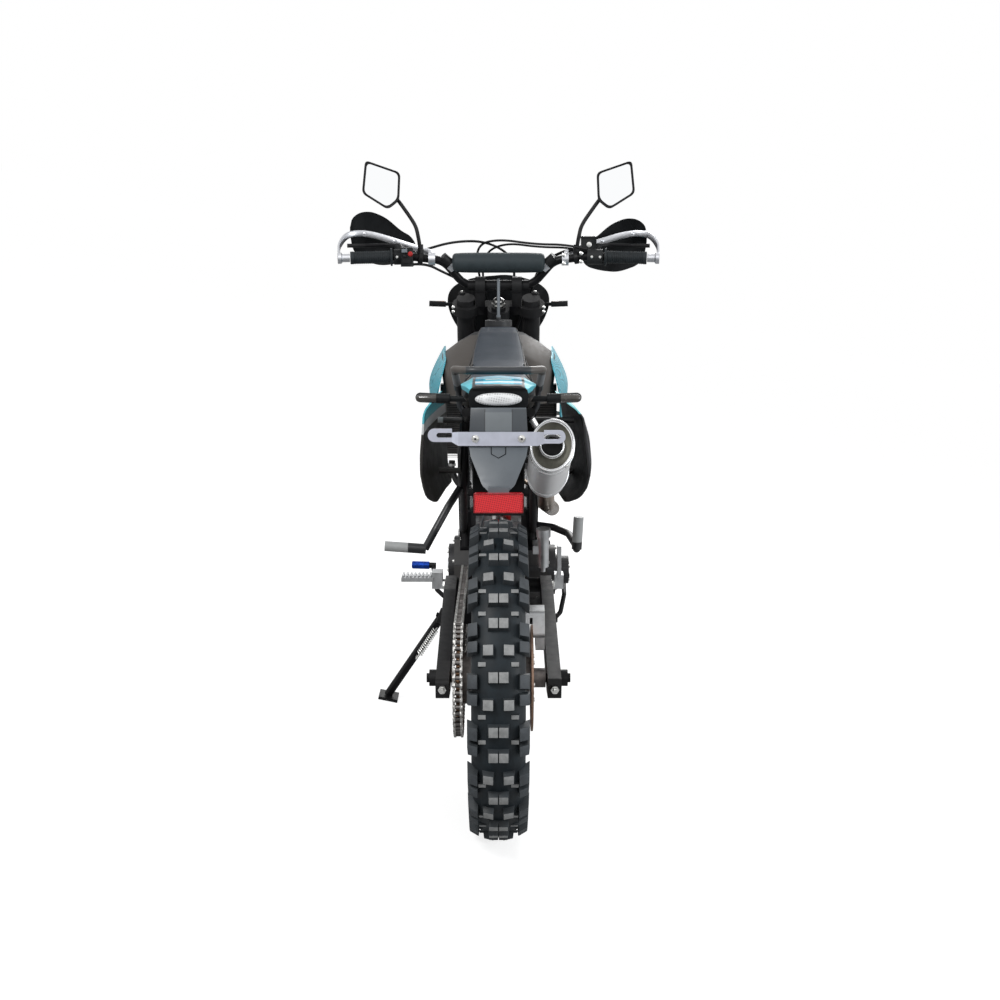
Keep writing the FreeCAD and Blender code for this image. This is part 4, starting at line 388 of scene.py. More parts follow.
def frame_along(way):
    """Two directions across a way."""
    way = way.normalized()
    other = Vector((0, 0, 1)) if abs(way.z) < 0.9 else Vector((1, 0, 0))
    side = way.cross(other).normalized()
    return side, side.cross(way).normalized()


def spun(centre, side, up, angle, wide, high=None):
    """Point on a circle or an oval round a centre."""
    high = wide if high is None else high
    return centre + side * (wide * math.cos(angle)) + up * (high * math.sin(angle))


def turns(count):
    """Angles of a whole turn in even steps."""
    return [2 * math.pi * i / count for i in range(count)]


def ring(mesh, centre, side, up, radius, count):
    return [mesh.verts.new(spun(centre, side, up, angle, radius)) for angle in turns(count)]


def bridge(mesh, first, second, material=0):
    count = len(first)
    for i in range(count):
        face = mesh.faces.new((first[i], first[(i + 1) % count], second[(i + 1) % count], second[i]))
        face.material_index = material


def skin(mesh, rings, material=0, capped=True):
    """Faces from each ring of vertices to the next, and over both ends."""
    for first, second in zip(rings, rings[1:]):
        bridge(mesh, first, second, material)
    if capped:
        for end in (rings[0], rings[-1]):
            mesh.faces.new(end).material_index = material


def add_lathe(mesh, start, way, profile, count=32, material=0):
    """Turned form along a line, from (distance, radius) pairs; its ends are closed."""
    start = Vector(start)
    way = Vector(way).normalized()
    side, up = frame_along(way)
    rings = [ring(mesh, start + way * far, side, up, max(radius, 0.01), count) for far, radius in profile]
    skin(mesh, rings, material)


def add_rod(mesh, start, end, radius, count=16, material=0):
    start, end = Vector(start), Vector(end)
    add_lathe(mesh, start, end - start, [(0, radius), ((end - start).length, radius)], count, material)


def add_bolts(mesh, places, way, radius, height):
    """Hexagon heads on washers."""
    for place in places:
        add_lathe(mesh, place, way, [(0, radius * 1.35), (height * 0.2, radius * 1.35)], 20)
        add_lathe(mesh, Vector(place) + Vector(way).normalized() * height * 0.2, way,
                  [(0, radius), (height * 0.7, radius), (height * 0.8, radius * 0.85)], 6)


def add_box(mesh, low, high, material=0):
    corners = [(x, y, z) for x in (low[0], high[0]) for y in (low[1], high[1]) for z in (low[2], high[2])]
    verts = [mesh.verts.new(c) for c in corners]
    for face in ((0, 1, 3, 2), (4, 6, 7, 5), (0, 4, 5, 1), (2, 3, 7, 6), (0, 2, 6, 4), (1, 5, 7, 3)):
        mesh.faces.new([verts[i] for i in face]).material_index = material


def curve_weights(t):
    """Weights of four neighbours for a point on the smooth curve between the middle two."""
    return (-0.5 * t + t ** 2 - 0.5 * t ** 3, 1 - 2.5 * t ** 2 + 1.5 * t ** 3,
            0.5 * t + 2 * t ** 2 - 1.5 * t ** 3, -0.5 * t ** 2 + 0.5 * t ** 3)


def smooth_path(points, steps=8):
    """Points on a smooth curve through a few given ones."""
    points = [Vector(p) for p in points]
    full = [points[0] * 2 - points[1]] + points + [points[-1] * 2 - points[-2]]
    made = []
    for i in range(len(points) - 1):
        for k in range(steps):
            made.append(sum((p * w for p, w in zip(full[i:], curve_weights(k / steps))), Vector()))
    return made + points[-1:]


def add_tube(mesh, path, radius, count=12, material=0, closed=False):
    """Round tube along points, its frame carried from one to the next."""
    path = [Vector(p) for p in path]
    total = len(path)
    side, up = frame_along(path[1] - path[0])
    rings = []
    for i, place in enumerate(path):
        if closed:
            way = (path[(i + 1) % total] - path[i - 1]).normalized()
        else:
            way = (path[min(i + 1, total - 1)] - path[max(i - 1, 0)]).normalized()
        side = (side - way * side.dot(way)).normalized()
        up = side.cross(way).normalized()
        rings.append(ring(mesh, place, side, up, radius, count))
    skin(mesh, rings, material, capped=not closed)
    if closed:
        bridge(mesh, rings[-1], rings[0], material)


def add_prism(mesh, outline, offset, far=None):
    """Solid on an outline of points, pushed along an offset or up to a far outline of its own."""
    near = [mesh.verts.new(p) for p in outline]
    other = [mesh.verts.new(Vector(p) + Vector(offset)) for p in (far or outline)]
    mesh.faces.new(near)
    mesh.faces.new(list(reversed(other)))
    bridge(mesh, near, other)


def weave(mesh, columns):
    """Faces between neighbouring columns of vertices."""
    for first, second in zip(columns, columns[1:]):
        for k in range(len(first) - 1):
            mesh.faces.new((first[k], first[k + 1], second[k + 1], second[k]))


# Camera and light

LENS = 52.45
CAMERA_SHIFT = 0.0015
EYE = Vector((0, -3034, 1331))
PITCH = math.radians(11.05)
SKY_LIGHT = 0.45
FLOOR_GLOW = 0.78


def make_camera():
    """Camera behind the bike, placed in the bike frame so that the bike stands upright in its view."""
    data = bpy.data.cameras.new("camera")
    data.sensor_width = 36
    data.lens = LENS
    data.shift_x = CAMERA_SHIFT
    data.clip_end = 100
    camera = new_object("camera", data)
    forward = Vector((0, math.cos(PITCH), -math.sin(PITCH)))
    turn = Matrix((RIGHT, RIGHT.cross(forward), -forward)).transposed().to_4x4()
    rotation = TO_ROW.to_3x3().normalized().to_4x4()
    camera.matrix_world = Matrix.Translation(TO_ROW @ EYE) @ rotation @ turn
    bpy.context.scene.camera = camera


def add_area(name, place, target, width, power, color=(1, 1, 1)):
    data = bpy.data.lights.new(name, "AREA")
    data.shape = "DISK"
    data.size = width
    data.energy = power
    data.color = color
    lamp = new_object(name, data)
    lamp.location = place
    lamp.rotation_euler = (Vector(target) - Vector(place)).to_track_quat("-Z", "Y").to_euler()


def make_stage():
    """White sky and ground for the camera, plain for the light on the bike, and three soft lamps."""
    world = bpy.data.worlds.new("studio")
    bpy.context.scene.world = world
    world.use_nodes = True
    tree = world.node_tree
    rays = node(tree, "LightPath").outputs
    seen = node(tree, "Math", rays["Is Camera Ray"], rays["Is Glossy Ray"], operation="MAXIMUM")
    seen = node(tree, "Math", seen.outputs[0], rays["Is Transmission Ray"], operation="MAXIMUM")
    level = node(tree, "MapRange", seen.outputs[0], To_Min=SKY_LIGHT, To_Max=1.0)
    feed(tree.nodes["Background"], Color=(1, 1, 1), Strength=level.outputs["Result"])
    bpy.ops.mesh.primitive_plane_add(size=60)
    floor = bpy.context.object
    floor.name = "floor"
    material, shader, tree = new_material("floor_white", (0.42, 0.42, 0.42), 0.9, spec=0.1)
    seen = node(tree, "Math", node(tree, "LightPath").outputs["Is Camera Ray"], FLOOR_GLOW,
                operation="MULTIPLY")
    glow = node(tree, "Emission", Strength=seen.outputs[0])
    total = node(tree, "AddShader", shader.outputs[0], glow.outputs[0])
    feed(tree.nodes["Material Output"], Surface=total.outputs[0])
    floor.data.materials.append(material)
    add_area("key", (-2.6, -3.6, 3.6), (0, -0.2, 0.6), 1.6, 130)
    add_area("fill", (3.4, -2.2, 2.2), (0, 0, 0.6), 2.2, 60, (0.93, 0.97, 1))
    add_area("back", (0.6, 3.6, 3.0), (0, 0.2, 0.9), 2.0, 90)


bpy.context.scene.view_settings.view_transform = "Standard"
make_camera()
make_stage()


# Materials of the CAD nodes

PAINTS = (
    (FRAME_PAINT, "frame rear_subframe swingarm"),
    (BLACK_PAINT, "rear_axle foot_controls yokes fork_tubes handlebar levers"),
    (BLACK_PAINT, "front_rim rear_rim side_stand"),
    (BLACK_PLASTIC, "air_box rear_fender rear_indicators fork_guards front_fender headlight_mask"),
    (BLACK_PLASTIC, "bar_controls hand_guards mirrors front_indicators"),
    (ENGINE_BLACK, "crankcase radiators"),
    (CAST_ALLOY, "cylinder footpegs rear_brake front_brake front_hub"),
    (PIPE_STEEL, "exhaust_pipe"), (BRUSHED_CAN, "muffler"), (TANK_PLASTIC, "fuel_tank"),
    (CAP_PLASTIC, "fuel_cap"), (SHROUD_BLUE, "tank_shrouds"), (SIDE_PLASTIC, "side_panels"),
    (TAIL_BLUE, "tail_cover"), (CARRIER_GREY, "tail_carrier"), (CLEAR_LENS, "tail_lamp"),
    (RED_LENS, "rear_reflector"), (BRACKET_STEEL, "plate_bracket"), (RAIL_PAINT, "grab_rail"),
    (PEG_PAINT, "passenger_pegs"), (POLISHED, "fork_sliders"), (HEAD_LENS, "headlamp"),
    (MIRROR, "mirror_glasses"), (STEEL, "front_axle"), (DISC_STEEL, "front_disc rear_disc"),
    (DARK_STEEL, "rear_hub"), (BRONZE, "rear_sprocket"),
)


# Tyres

TYRES = {
    "rear": {
        "half": [(38, 229.5), (42, 243), (50, 262), (54.5, 284), (53, 302), (46, 316), (34, 325), (18, 330),
                 (0, 331.5)],
        "tips": (345, 336, 325.5), "edge": (42, 60.5), "edge_feet": (313, 292), "scale": 1.0},
    "front": {
        "half": [(26.5, 267.6), (30.5, 281), (37, 300), (40, 316), (38.5, 327), (32, 333.5), (22, 338),
                 (11, 340.5), (0, 341)],
        "tips": (352, 345.6, 337), "edge": (28, 44.5), "edge_feet": (330, 316), "scale": 0.74},
}
FLAT_TREAD = 19.5
BLOCK_LENGTH = 21
BURIED = 2


def add_knob(mesh, wheel, angle, side, reach, feet, tips, length, top=1):
    """Rubber block on one side of the tread, wider at its foot; its top takes a lighter material, painted
    sheen.

    reach, feet and tips give its distance from the middle and its radii, at its inner and outer edge.
    """
    near, far = reach
    levels = []
    for radii, grow in ((feet, 1.22), (tips, 1.0)):
        half = length * grow / 2
        wide = (far - near) / 2 * grow
        level = []
        for sx, sy in ((-1, -1), (1, -1), (1, 1), (-1, 1)):
            x = side * (near + far) / 2 + sx * wide
            radius = radii[0] if sx * side < 0 else radii[1]
            turn = angle + sy * half / radius
            level.append(mesh.verts.new((x, wheel.y + radius * math.sin(turn),
                                         wheel.z + radius * math.cos(turn))))
        levels.append(level)
    foot, tip = levels
    mesh.faces.new(tip).material_index = top
    bridge(mesh, foot, tip)


def make_tyre(end, wheel, rows, pattern, body):
    """Carcass with paired blocks across the tread, knobs at its edges and short cross ribs."""
    size = TYRES[end]
    half, edge, scale = size["half"], size["edge"], size["scale"]
    tip, edge_tip, last_tip = size["tips"]
    carcass = sorted(half)
    drop = (tip - edge_tip) / (edge[0] - FLAT_TREAD)
    rib = 34 * scale
    rib_foot = along(carcass, rib) - BURIED
    rib_tip = rib_foot + 6
    step = 2 * math.pi / rows
    mesh = bmesh.new()
    rings = [[mesh.verts.new((x, wheel.y + r * math.sin(angle), wheel.z + r * math.cos(angle)))
              for x, r in [(-x, r) for x, r in half[:-1]] + half[::-1]] for angle in turns(rows * 4)]
    weave(mesh, rings + rings[:1])
    for row in range(rows):
        angle = math.pi - step * row
        centred = pattern[row % len(pattern)] == "C"
        reach = [x * scale for x in ((1.0, 19.5) if centred else (10.5, 30.5))]
        feet = [along(carcass, x) - BURIED for x in reach]
        tips = [tip - max(x - FLAT_TREAD, 0) * drop for x in reach]
        swing, length = (0.16 * step, 22) if row % 2 else (-0.16 * step, 27)
        for side in (-1, 1):
            add_knob(mesh, wheel, angle, side, reach, feet, tips, BLOCK_LENGTH)
            add_knob(mesh, wheel, angle + swing, side, edge, size["edge_feet"], (edge_tip, last_tip),
                     length, 2)
            if centred:
                add_knob(mesh, wheel, angle + step / 2, side, (rib - 9 * scale, rib + 6 * scale),
                         (rib_foot, rib_foot), (rib_tip, rib_tip), 9 * scale)
    made = finish_mesh(f"{end}_tyre_tread", mesh, body,
                       [RUBBER, KNOB_TOP_SHEEN, EDGE_TOP_SHEEN], 30, 0.9)
    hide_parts(f"{end}_tyre")


# Chain

CHAIN_PITCH = 15.875
GEARBOX_SPROCKET = Vector((0, 655, 395))
CHAIN_LINE = -86
REAR_TEETH = 48
GEARBOX_TEETH = 14


def chain_places():
    """Pin places along the chain, in the order in which it runs."""
    rear, front = REAR_AXLE, GEARBOX_SPROCKET
    big = CHAIN_PITCH / (2 * math.sin(math.pi / REAR_TEETH))
    small = CHAIN_PITCH / (2 * math.sin(math.pi / GEARBOX_TEETH))
    flat = math.atan2(front.z - rear.z, front.y - rear.y)
    gap = (front - rear).length
    spread = math.acos((big - small) / gap)
    top, bottom = flat + spread, flat - spread
    run = math.sqrt(gap ** 2 - (big - small) ** 2)
    wrap = top - bottom
    rest = 2 * math.pi - wrap

    def on(centre, radius, angle):
        return Vector((0, centre.y + radius * math.cos(angle), centre.z + radius * math.sin(angle)))

    parts = [(run, lambda t: on(rear, big, top).lerp(on(front, small, top), t)),
             (small * wrap, lambda t: on(front, small, top - wrap * t)),
             (run, lambda t: on(front, small, bottom).lerp(on(rear, big, bottom), t)),
             (big * rest, lambda t: on(rear, big, bottom - rest * t))]
    total = sum(length for length, place in parts)
    count = 2 * round(total / CHAIN_PITCH / 2)
    places = []
    for i in range(count):
        way = total * i / count
        part = 0
        while way > parts[part][0]:
            way -= parts[part][0]
            part += 1
        length, place = parts[part]
        places.append(place(way / length))
    return places


def make_chain():
    """Waisted side plates, pins and rollers, link by link."""
    places = chain_places()
    mesh = bmesh.new()
    for i, start in enumerate(places):
        end = places[(i + 1) % len(places)]
        way = (end - start).normalized()
        up = RIGHT.cross(way).normalized()
        for side in (-1, 1):
            low = CHAIN_LINE + side * (7.9 if i % 2 else 5.2)
            outline = []
            for centre, sign in ((start, -1), (end, 1)):
                outline += [spun(centre, way, up, math.pi * (k / 6 - 0.5), sign * 7.2) for k in range(7)]
                outline.append((start + end) / 2 + up * (5.0 * sign))
            add_prism(mesh, [(low, p.y, p.z) for p in outline], (side * 2.3, 0, 0))
        for half, radius, count in ((10.9, 2.8, 10), (5.3, 5.0, 12)):
            add_rod(mesh, (CHAIN_LINE - half, start.y, start.z), (CHAIN_LINE + half, start.y, start.z),
                    radius, count, 1)
    made = finish_mesh("chain_links", mesh, "root", [CHAIN_STEEL, DARK_STEEL], 30)
    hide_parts("chain")


# Seat and bar pad

SEAT_STATIONS = [
    (845, 1042, 1016, 45, 0.97), (800, 1040, 1000, 49, 0.95), (760, 1034, 986, 53, 0.93),
    (700, 1018, 952, 61, 0.90), (640, 1000, 918, 69, 0.86), (570, 980, 894, 78, 0.80),
    (500, 967, 884, 82, 0.76), (440, 958, 882, 86, 0.75), (380, 955, 884, 87, 0.74),
    (310, 960, 892, 86, 0.76), (240, 971, 904, 83, 0.78), (160, 981, 921, 79, 0.76),
    (80, 987, 938, 73, 0.72), (20, 989, 948, 66, 0.7), (-38, 989, 957, 58, 0.66),
]


def make_seat():
    """Foam seat with a grip panel on top, its side skirts, raised piping and sewn ribs."""
    mesh = bmesh.new()
    layer = mesh.verts.layers.float.new("panel")
    stations = []
    for first, second in zip(SEAT_STATIONS, SEAT_STATIONS[1:]):
        stations += [[a + (b - a) * k / 6 for a, b in zip(first, second)] for k in range(6)]
    stations.append(SEAT_STATIONS[-1])
    rings = []
    for y, top, low, half, share in stations:
        seam = half * share
        wide = 1.0 / share
        outline = [(0, 1.0), (0.3, 1.0), (0.6, 0.995), (0.85, 0.975), (0.97, 0.95), (1.0, 0.93),
                   (1.03, 0.945), (1.07, 0.90), (wide * 0.93, 0.74), (wide, 0.5),
                   (wide * 0.985, 0.25), (wide * 0.93, 0.05), (wide * 0.8, 0.0)]
        section = [(seam * x, low + (top - low) * up) for x, up in outline]
        made = []
        for x, z in section + [(0, low)] + [(-x, z) for x, z in reversed(section[1:])]:
            vert = mesh.verts.new((x, y, z))
            vert[layer] = 1.0 if abs(x) < seam * 1.005 and z > low + (top - low) * 0.6 else 0.0
            made.append(vert)
        rings.append(made)
    skin(mesh, rings)
    made = finish_mesh("seat_cover", mesh, "root", SEAT, 60)
    soften(made)
    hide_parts("seat")
    seams = bmesh.new()
    for side in (-1, 1):
        for drop in (0.9, 0.72):
            path = []
            for y, top, low, half, part in SEAT_STATIONS[1:-1]:
                x = half * part * 1.045 if drop > 0.8 else half * 0.965
                path.append((side * x, y, low + (top - low) * drop + 0.6))
            add_tube(seams, smooth_path(path, 5), 1.5, 6)
        for y, far in ((540, 610), (330, 300)):
            path = [(side * 62, y, 972), (side * 78, (y + far) / 2, 950), (side * 84, far, 905)]
            add_tube(seams, smooth_path(path, 5), 1.2, 6)
    finish_mesh("seat_seams", seams, "root", CABLE_BLACK, 60)


def soften(made):
    """Rounded faces for a padded cover."""
    modified(made, "SUBSURF", levels=1, render_levels=1)
    made.data.shade_smooth()


def make_bar_pad():
    """Round foam pad over the cross bar, with a seam near each end."""
    half = [(126, 6), (125.5, 17), (122, 23.5), (115, 26.2), (110, 25.0), (107, 26.4), (60, 27.4)]
    profile = [(-x, radius) for x, radius in half] + [(0, 27.0)] + half[::-1]
    mesh = bmesh.new()
    add_lathe(mesh, on_bar(0, 42, 64), RIGHT, profile, 48)
    made = finish_mesh("bar_pad_cover", mesh, "steering", PAD_FOAM, 60)
    soften(made)
    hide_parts("bar_pad")


# Grips and shock absorber

def make_grips():
    """Ribbed rubber grips with a flange at their inner end."""
    mesh = bmesh.new()
    for side in (-1, 1):
        inner, outer = bar_point(side, 286), bar_point(side, 398)
        length = (outer - inner).length
        profile = [(0, 12), (0.01, 24), (4.5, 24), (5.5, 17.5)]
        place = 8
        while place < length - 12:
            profile += [(place, 15.6), (place + 0.6, 17), (place + 3, 17), (place + 3.6, 15.6)]
            place += 5
        profile += [(length - 9, 17), (length - 1, 17), (length, 15.5), (length + 0.01, 2)]
        add_lathe(mesh, inner, outer - inner, profile, 36)
    made = finish_mesh("grip_rubbers", mesh, "steering", GRIP_RUBBER, 30)
    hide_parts("grips")


def add_spring(mesh, low, high, radius, wire, coils):
    """Open coil of wire between two points."""
    low, high = Vector(low), Vector(high)
    side, up = frame_along(high - low)
    steps = int(coils * 20)
    path = [spun(low.lerp(high, i / steps), side, up, 2 * math.pi * coils * i / steps, radius)
            for i in range(steps + 1)]
    add_tube(mesh, path, wire, 8)


def make_shock():
    """Red coil spring round a damper with its seats and eyes."""
    low, high = Vector((0, 448, 376)), Vector((0, 604, 636))
    way = (high - low).normalized()
    length = (high - low).length
    damper = [(0, 13), (20, 13), (22, 17), (48, 17), (48, 33), (56, 34), (60, 30), (62, 12), (150, 12),
              (152, 20), (length - 54, 20), (length - 52, 31), (length - 44, 34), (length - 40, 33),
              (length - 38, 20), (length - 12, 18), (length - 8, 12)]
    mesh = bmesh.new()
    add_spring(mesh, low + way * 62, low + way * (length - 52), 27, 6, 7.5)
    add_lathe(mesh, low, way, damper, 32, 1)
    made = finish_mesh("shock_and_spring", mesh, "root", [RED_SWITCH, STEEL], 40)
    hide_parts("shock_absorber")


# Bolts, lenses and fittings

BRACKET_BOLTS = ((-45, 906), (45, 906))


def around(centre, radius, count, turn=0.0):
    """Places round a circle across the bike."""
    x, y, z = centre
    return [Vector((x, y + radius * math.cos(angle + turn), z + radius * math.sin(angle + turn)))
            for angle in turns(count)]


def make_muffler_end():
    """Bright rim, dark dished cap and outlet ring of the silencer, with its band and bolts; a black disc in
    the outlet is painted shade.
    """
    tilt = math.radians(21)
    roll = math.radians(8)
    wide, high = 45, 54
    axis = Vector((0, math.cos(tilt), -math.sin(tilt)))
    rear = Vector((108, -130, 876))
    up = Vector((math.sin(roll), 0, math.cos(roll)))
    up = (up - axis * up.dot(axis)).normalized()
    side = axis.cross(up)

    def oval(grow, far):
        return [spun(rear + axis * far, side, up, angle, wide + grow, high + grow) for angle in turns(48)]

    def circle(points, far, radius):
        """Round ring whose points lie in the same directions as the given ones."""
        flat = [p - rear - axis * p.dot(axis) + axis * rear.dot(axis) for p in points]
        return [rear + axis * far + p.normalized() * radius for p in flat]

    mesh = bmesh.new()
    add_tube(mesh, oval(-1.2, -0.6), 2.6, 10, closed=True)
    for far in (26, 268):
        add_tube(mesh, oval(0.8, far), 1.4, 8, closed=True)
    dish = oval(-16, 7.4)
    steps = (oval(-5.6, 2.2), dish, circle(dish, 7.7, 25.5))
    skin(mesh, [[mesh.verts.new(p) for p in points] for points in steps], 1, capped=False)
    add_tube(mesh, circle(dish, -2.4, 23.4), 1.7, 8, closed=True)
    # Black disc deep inside the outlet: painted shade that stands for its dark inside.
    add_lathe(mesh, rear + axis * 20, axis, [(0, 21.8), (2, 21.8)], 32, 2)
    for angle in (40, 140, 220, 320):
        spot = spun(Vector(), side, up, math.radians(angle), wide + 0.8, high + 0.8)
        add_lathe(mesh, rear + axis * 14 + spot * 0.985, spot, [(0, 4), (2.2, 4), (3, 2.5)], 12, 3)
    finish_mesh("muffler_end", mesh, "root",
                [POLISHED, OLIVE_METAL, OUTLET_SHADE, BRIGHT_BOLT], 50)


def make_tail_details():
    """Bolts of the bracket, each with a flat dark hexagon of painted shade for its socket, and the rim of
    the reflector.
    """
    mesh = bmesh.new()
    for x, z in BRACKET_BOLTS:
        add_lathe(mesh, (x, -238.2, z), BACK, [(0, 7.5), (1.2, 7.5), (1.4, 5.5), (3.6, 5), (4.2, 3)], 20)
        # Flat dark hexagon on the head: painted shade standing for the bolt's socket.
        add_lathe(mesh, (x, -242.2, z), BACK, [(0, 2.6), (0.3, 2.6)], 6, 1)
    finish_mesh("bracket_bolts", mesh, "root", [BRIGHT_BOLT, SOCKET_SHADE], 40)
    low, high = node_box("rear_reflector")
    wide = 2
    mesh = bmesh.new()
    for x_low, x_high, z_low, z_high in (
            (low.x, high.x, low.z, low.z + wide), (low.x, high.x, high.z - wide, high.z),
            (low.x, low.x + wide, low.z, high.z), (high.x - wide, high.x, low.z, high.z)):
        add_box(mesh, (x_low, low.y - 1.4, z_low), (x_high, low.y + 0.9, z_high))
    finish_mesh("reflector_rim", mesh, "root", RED_RIM, 30, 0.5)


def node_box(name):
    """Lowest and highest corner of a CAD node in the bike frame, in millimetres."""
    back = TO_ROW.inverted()
    places = [back @ vert.co for vert in NODES[name].data.vertices]
    return [Vector([pick(p[i] for p in places) for i in range(3)]) for pick in (min, max)]


def make_indicator_lenses():
    """Lenses let into each indicator head: dark ones at the back, amber ones in front."""
    profile = [(0, 3), (1.5, 8), (36, 8), (41, 5.5), (43, 1)]
    for name, body, way, material in (("rear_indicators", "root", -1, AMBER),
                                      ("front_indicators", "steering", 1, FRONT_AMBER)):
        low, high = node_box(name)
        y = low.y + 7.2 if way < 0 else high.y - 7.2
        mesh = bmesh.new()
        for side in (-1, 1):
            outer = high.x if side > 0 else -low.x
            add_lathe(mesh, (side * (outer - 44), y, (low.z + high.z) / 2), (side, 0, 0), profile, 20)
        finish_mesh(f"{name}_lenses", mesh, body, material, 50)


def make_nipples(end, wheel, body):
    """Spoke nipples inside a rim, and its valve."""
    outer, left, right = (208, -55, 43) if end == "rear" else (246.1, -31, 31)
    mesh = bmesh.new()
    for i, angle in enumerate(turns(36)):
        side = left if i % 2 else right
        start = wheel + Vector((side * 0.12, outer * math.cos(angle), outer * math.sin(angle)))
        inward = Vector((side * 0.0045, -math.cos(angle), -math.sin(angle)))
        add_lathe(mesh, start, inward, [(0, 4.6), (1, 4.6), (1.4, 3.3), (12, 3.3), (13, 2.6)], 8)
    add_lathe(mesh, wheel + Vector((0, 0.707, 0.707)) * (outer - 2), (0, -0.707, -0.707),
              [(0, 7), (3, 7), (3.2, 4), (26, 4), (26.2, 5), (36, 5), (37, 3)], 12, 1)
    finish_mesh(f"{end}_nipples", mesh, body, [BRIGHT_BOLT, DARK_STEEL], 30)


def make_wheel_bolts():
    """Bolts of the sprocket and of both brake discs."""
    mesh = bmesh.new()
    add_bolts(mesh, around(REAR_AXLE + LEFT * 90, 48, 6), LEFT, 5.5, 6)
    add_bolts(mesh, around(REAR_AXLE + RIGHT * 74.4, 48, 6), RIGHT, 4.5, 4)
    finish_mesh("rear_hub_bolts", mesh, "rear_wheel", BRIGHT_BOLT, 30)
    mesh = bmesh.new()
    add_bolts(mesh, around(FRONT_AXLE + LEFT * 52.4, 48, 6), LEFT, 4.5, 4)
    finish_mesh("front_hub_bolts", mesh, "front_wheel", BRIGHT_BOLT, 30)


def make_engine_details():
    """Bolts of the engine's covers, and its caps, plug lead, coolant hoses, clamps and drain pipe."""
    mesh = bmesh.new()
    right = [(680, 345), (735, 333), (800, 333), (866, 336), (889, 385), (876, 432), (866, 460),
             (800, 472), (730, 480), (676, 440)]
    left = [(706, 334), (780, 331), (866, 334), (889, 385), (876, 432), (862, 460), (775, 478), (742, 428)]
    right_case, left_case = 128, -118
    clutch, generator, filter_lid = (150, 745, 405), (-134, 815, 400), (185, 722, 410)
    for places, way, radius, height in (
            ([(right_case, y, z) for y, z in right], RIGHT, 4.2, 5),
            ([(left_case, y, z) for y, z in left], LEFT, 4.2, 5),
            (around(clutch, 57, 7, 0.4), RIGHT, 3.8, 5),
            (around(generator, 50, 6), LEFT, 3.8, 5),
            (around(filter_lid, 27, 3, 0.5), RIGHT, 3.6, 4),
            ([(x, y, 752) for x in (-36, 36) for y in (752, 836)], UP, 4.5, 6)):
        add_bolts(mesh, places, way, radius, height)
    finish_mesh("engine_bolts", mesh, "root", BRIGHT_BOLT, 30)
    alloy, steel, grey = range(1, 4)
    mesh = bmesh.new()
    add_lathe(mesh, (right_case, 845, 448), RIGHT, [(0, 15), (3, 15), (4, 13), (12, 13), (13, 11)], 24)
    add_lathe(mesh, generator, LEFT, [(0, 20), (2.5, 20), (3.5, 18)], 32, alloy)
    add_lathe(mesh, (58, 793, 690), RIGHT, [(0, 9), (4, 9), (5, 7), (26, 7), (27, 9), (36, 9), (38, 6)], 16)
    lead = [(94, 793, 690), (108, 805, 700), (104, 850, 740), (80, 880, 790), (50, 892, 812),
            (30, 896, 818)]
    add_tube(mesh, smooth_path(lead), 3.6, 10)
    for side in (-1, 1):
        hose = [(side * x, y, z) for x, y, z in ((128, 930, 668), (128, 928, 640), (110, 900, 610),
                                                 (84, 868, 600), (58, 846, 612))]
        add_tube(mesh, smooth_path(hose), 9, 14)
        for spot, way in (((side * 128, 930, 660), -UP), ((side * 66, 853, 607), (-side, -0.8, 0.5))):
            add_lathe(mesh, spot, way, [(0, 10.4), (7, 10.4)], 20, steel)
    hose = [(98, 928, 842), (60, 930, 846), (0, 934, 846), (-60, 930, 846), (-98, 928, 842)]
    add_tube(mesh, smooth_path(hose, 6), 8)
    fall = 0.168
    for y, z in ((647, 704.9), (728, 704.9 - (728 - 647) * fall)):
        add_lathe(mesh, (0, y, z), (0, 1, -fall), [(0, 29.6), (8, 29.6)], 32, steel)
    add_lathe(mesh, (-22, 690, 676), LEFT, [(0, 7), (14, 7), (15, 5), (24, 5)], 14, alloy)
    add_lathe(mesh, (0, 690, 650), -UP, [(0, 9), (6, 9), (7, 6)], 6, alloy)
    drain = [(-10, 688, 650), (-26, 684, 610), (-40, 670, 560), (-46, 664, 520)]
    add_tube(mesh, smooth_path(drain), 2.6, 8, grey)
    finish_mesh("engine_fittings", mesh, "root",
                [CABLE_BLACK, CAST_ALLOY, STEEL, HOSE_GREY], 40)


def make_radiator_cores():
    """Closely set cooling fins on both faces of each radiator, and the filler cap."""
    mesh = bmesh.new()
    for side in (-1, 1):
        low, high = sorted((side * 104, side * 152))
        for i in range(34):
            z = 680 + i * 4.8
            for y_low, y_high in ((909.5, 912.2), (943.8, 946.5)):
                add_box(mesh, (low, y_low, z), (high, y_high, z + 1.4), 0)
        for x in (side * 100, side * 156):
            x_low, x_high = sorted((x - 2.5, x + 2.5))
            for y_low, y_high in ((908.8, 912.2), (943.8, 947.2)):
                add_box(mesh, (x_low, y_low, 672), (x_high, y_high, 848), 1)
    add_lathe(mesh, (128, 928, 852), UP, [(0, 16), (6, 16), (7, 20), (12, 20), (13, 15)], 24, 2)
    finish_mesh("radiator_fins", mesh, "root", [DARK_STEEL, ENGINE_BLACK, CAST_ALLOY], 30)


def make_axle_parts():
    """Chain adjusters, and the pivot's and the frame's bolts."""
    mesh = bmesh.new()
    for side in (-1, 1):
        for y, radius, length in ((-88, 5, 10), (-78, 9, 8)):
            add_lathe(mesh, (side * 119.5, y, REAR_AXLE.z), BACK, [(0, radius), (length, radius)], 6)
        add_bolts(mesh, [(side * 134.2, 575, 405)], (side, 0, 0), 11, 9)
    places = [(side * 98, y, z) for side in (-1, 1) for y, z in ((600, 520), (604, 360))]
    add_bolts(mesh, places, RIGHT, 6, 3)
    finish_mesh("axle_parts", mesh, "root", BRIGHT_BOLT, 30)


# Panels and shells that stand for the plain nodes

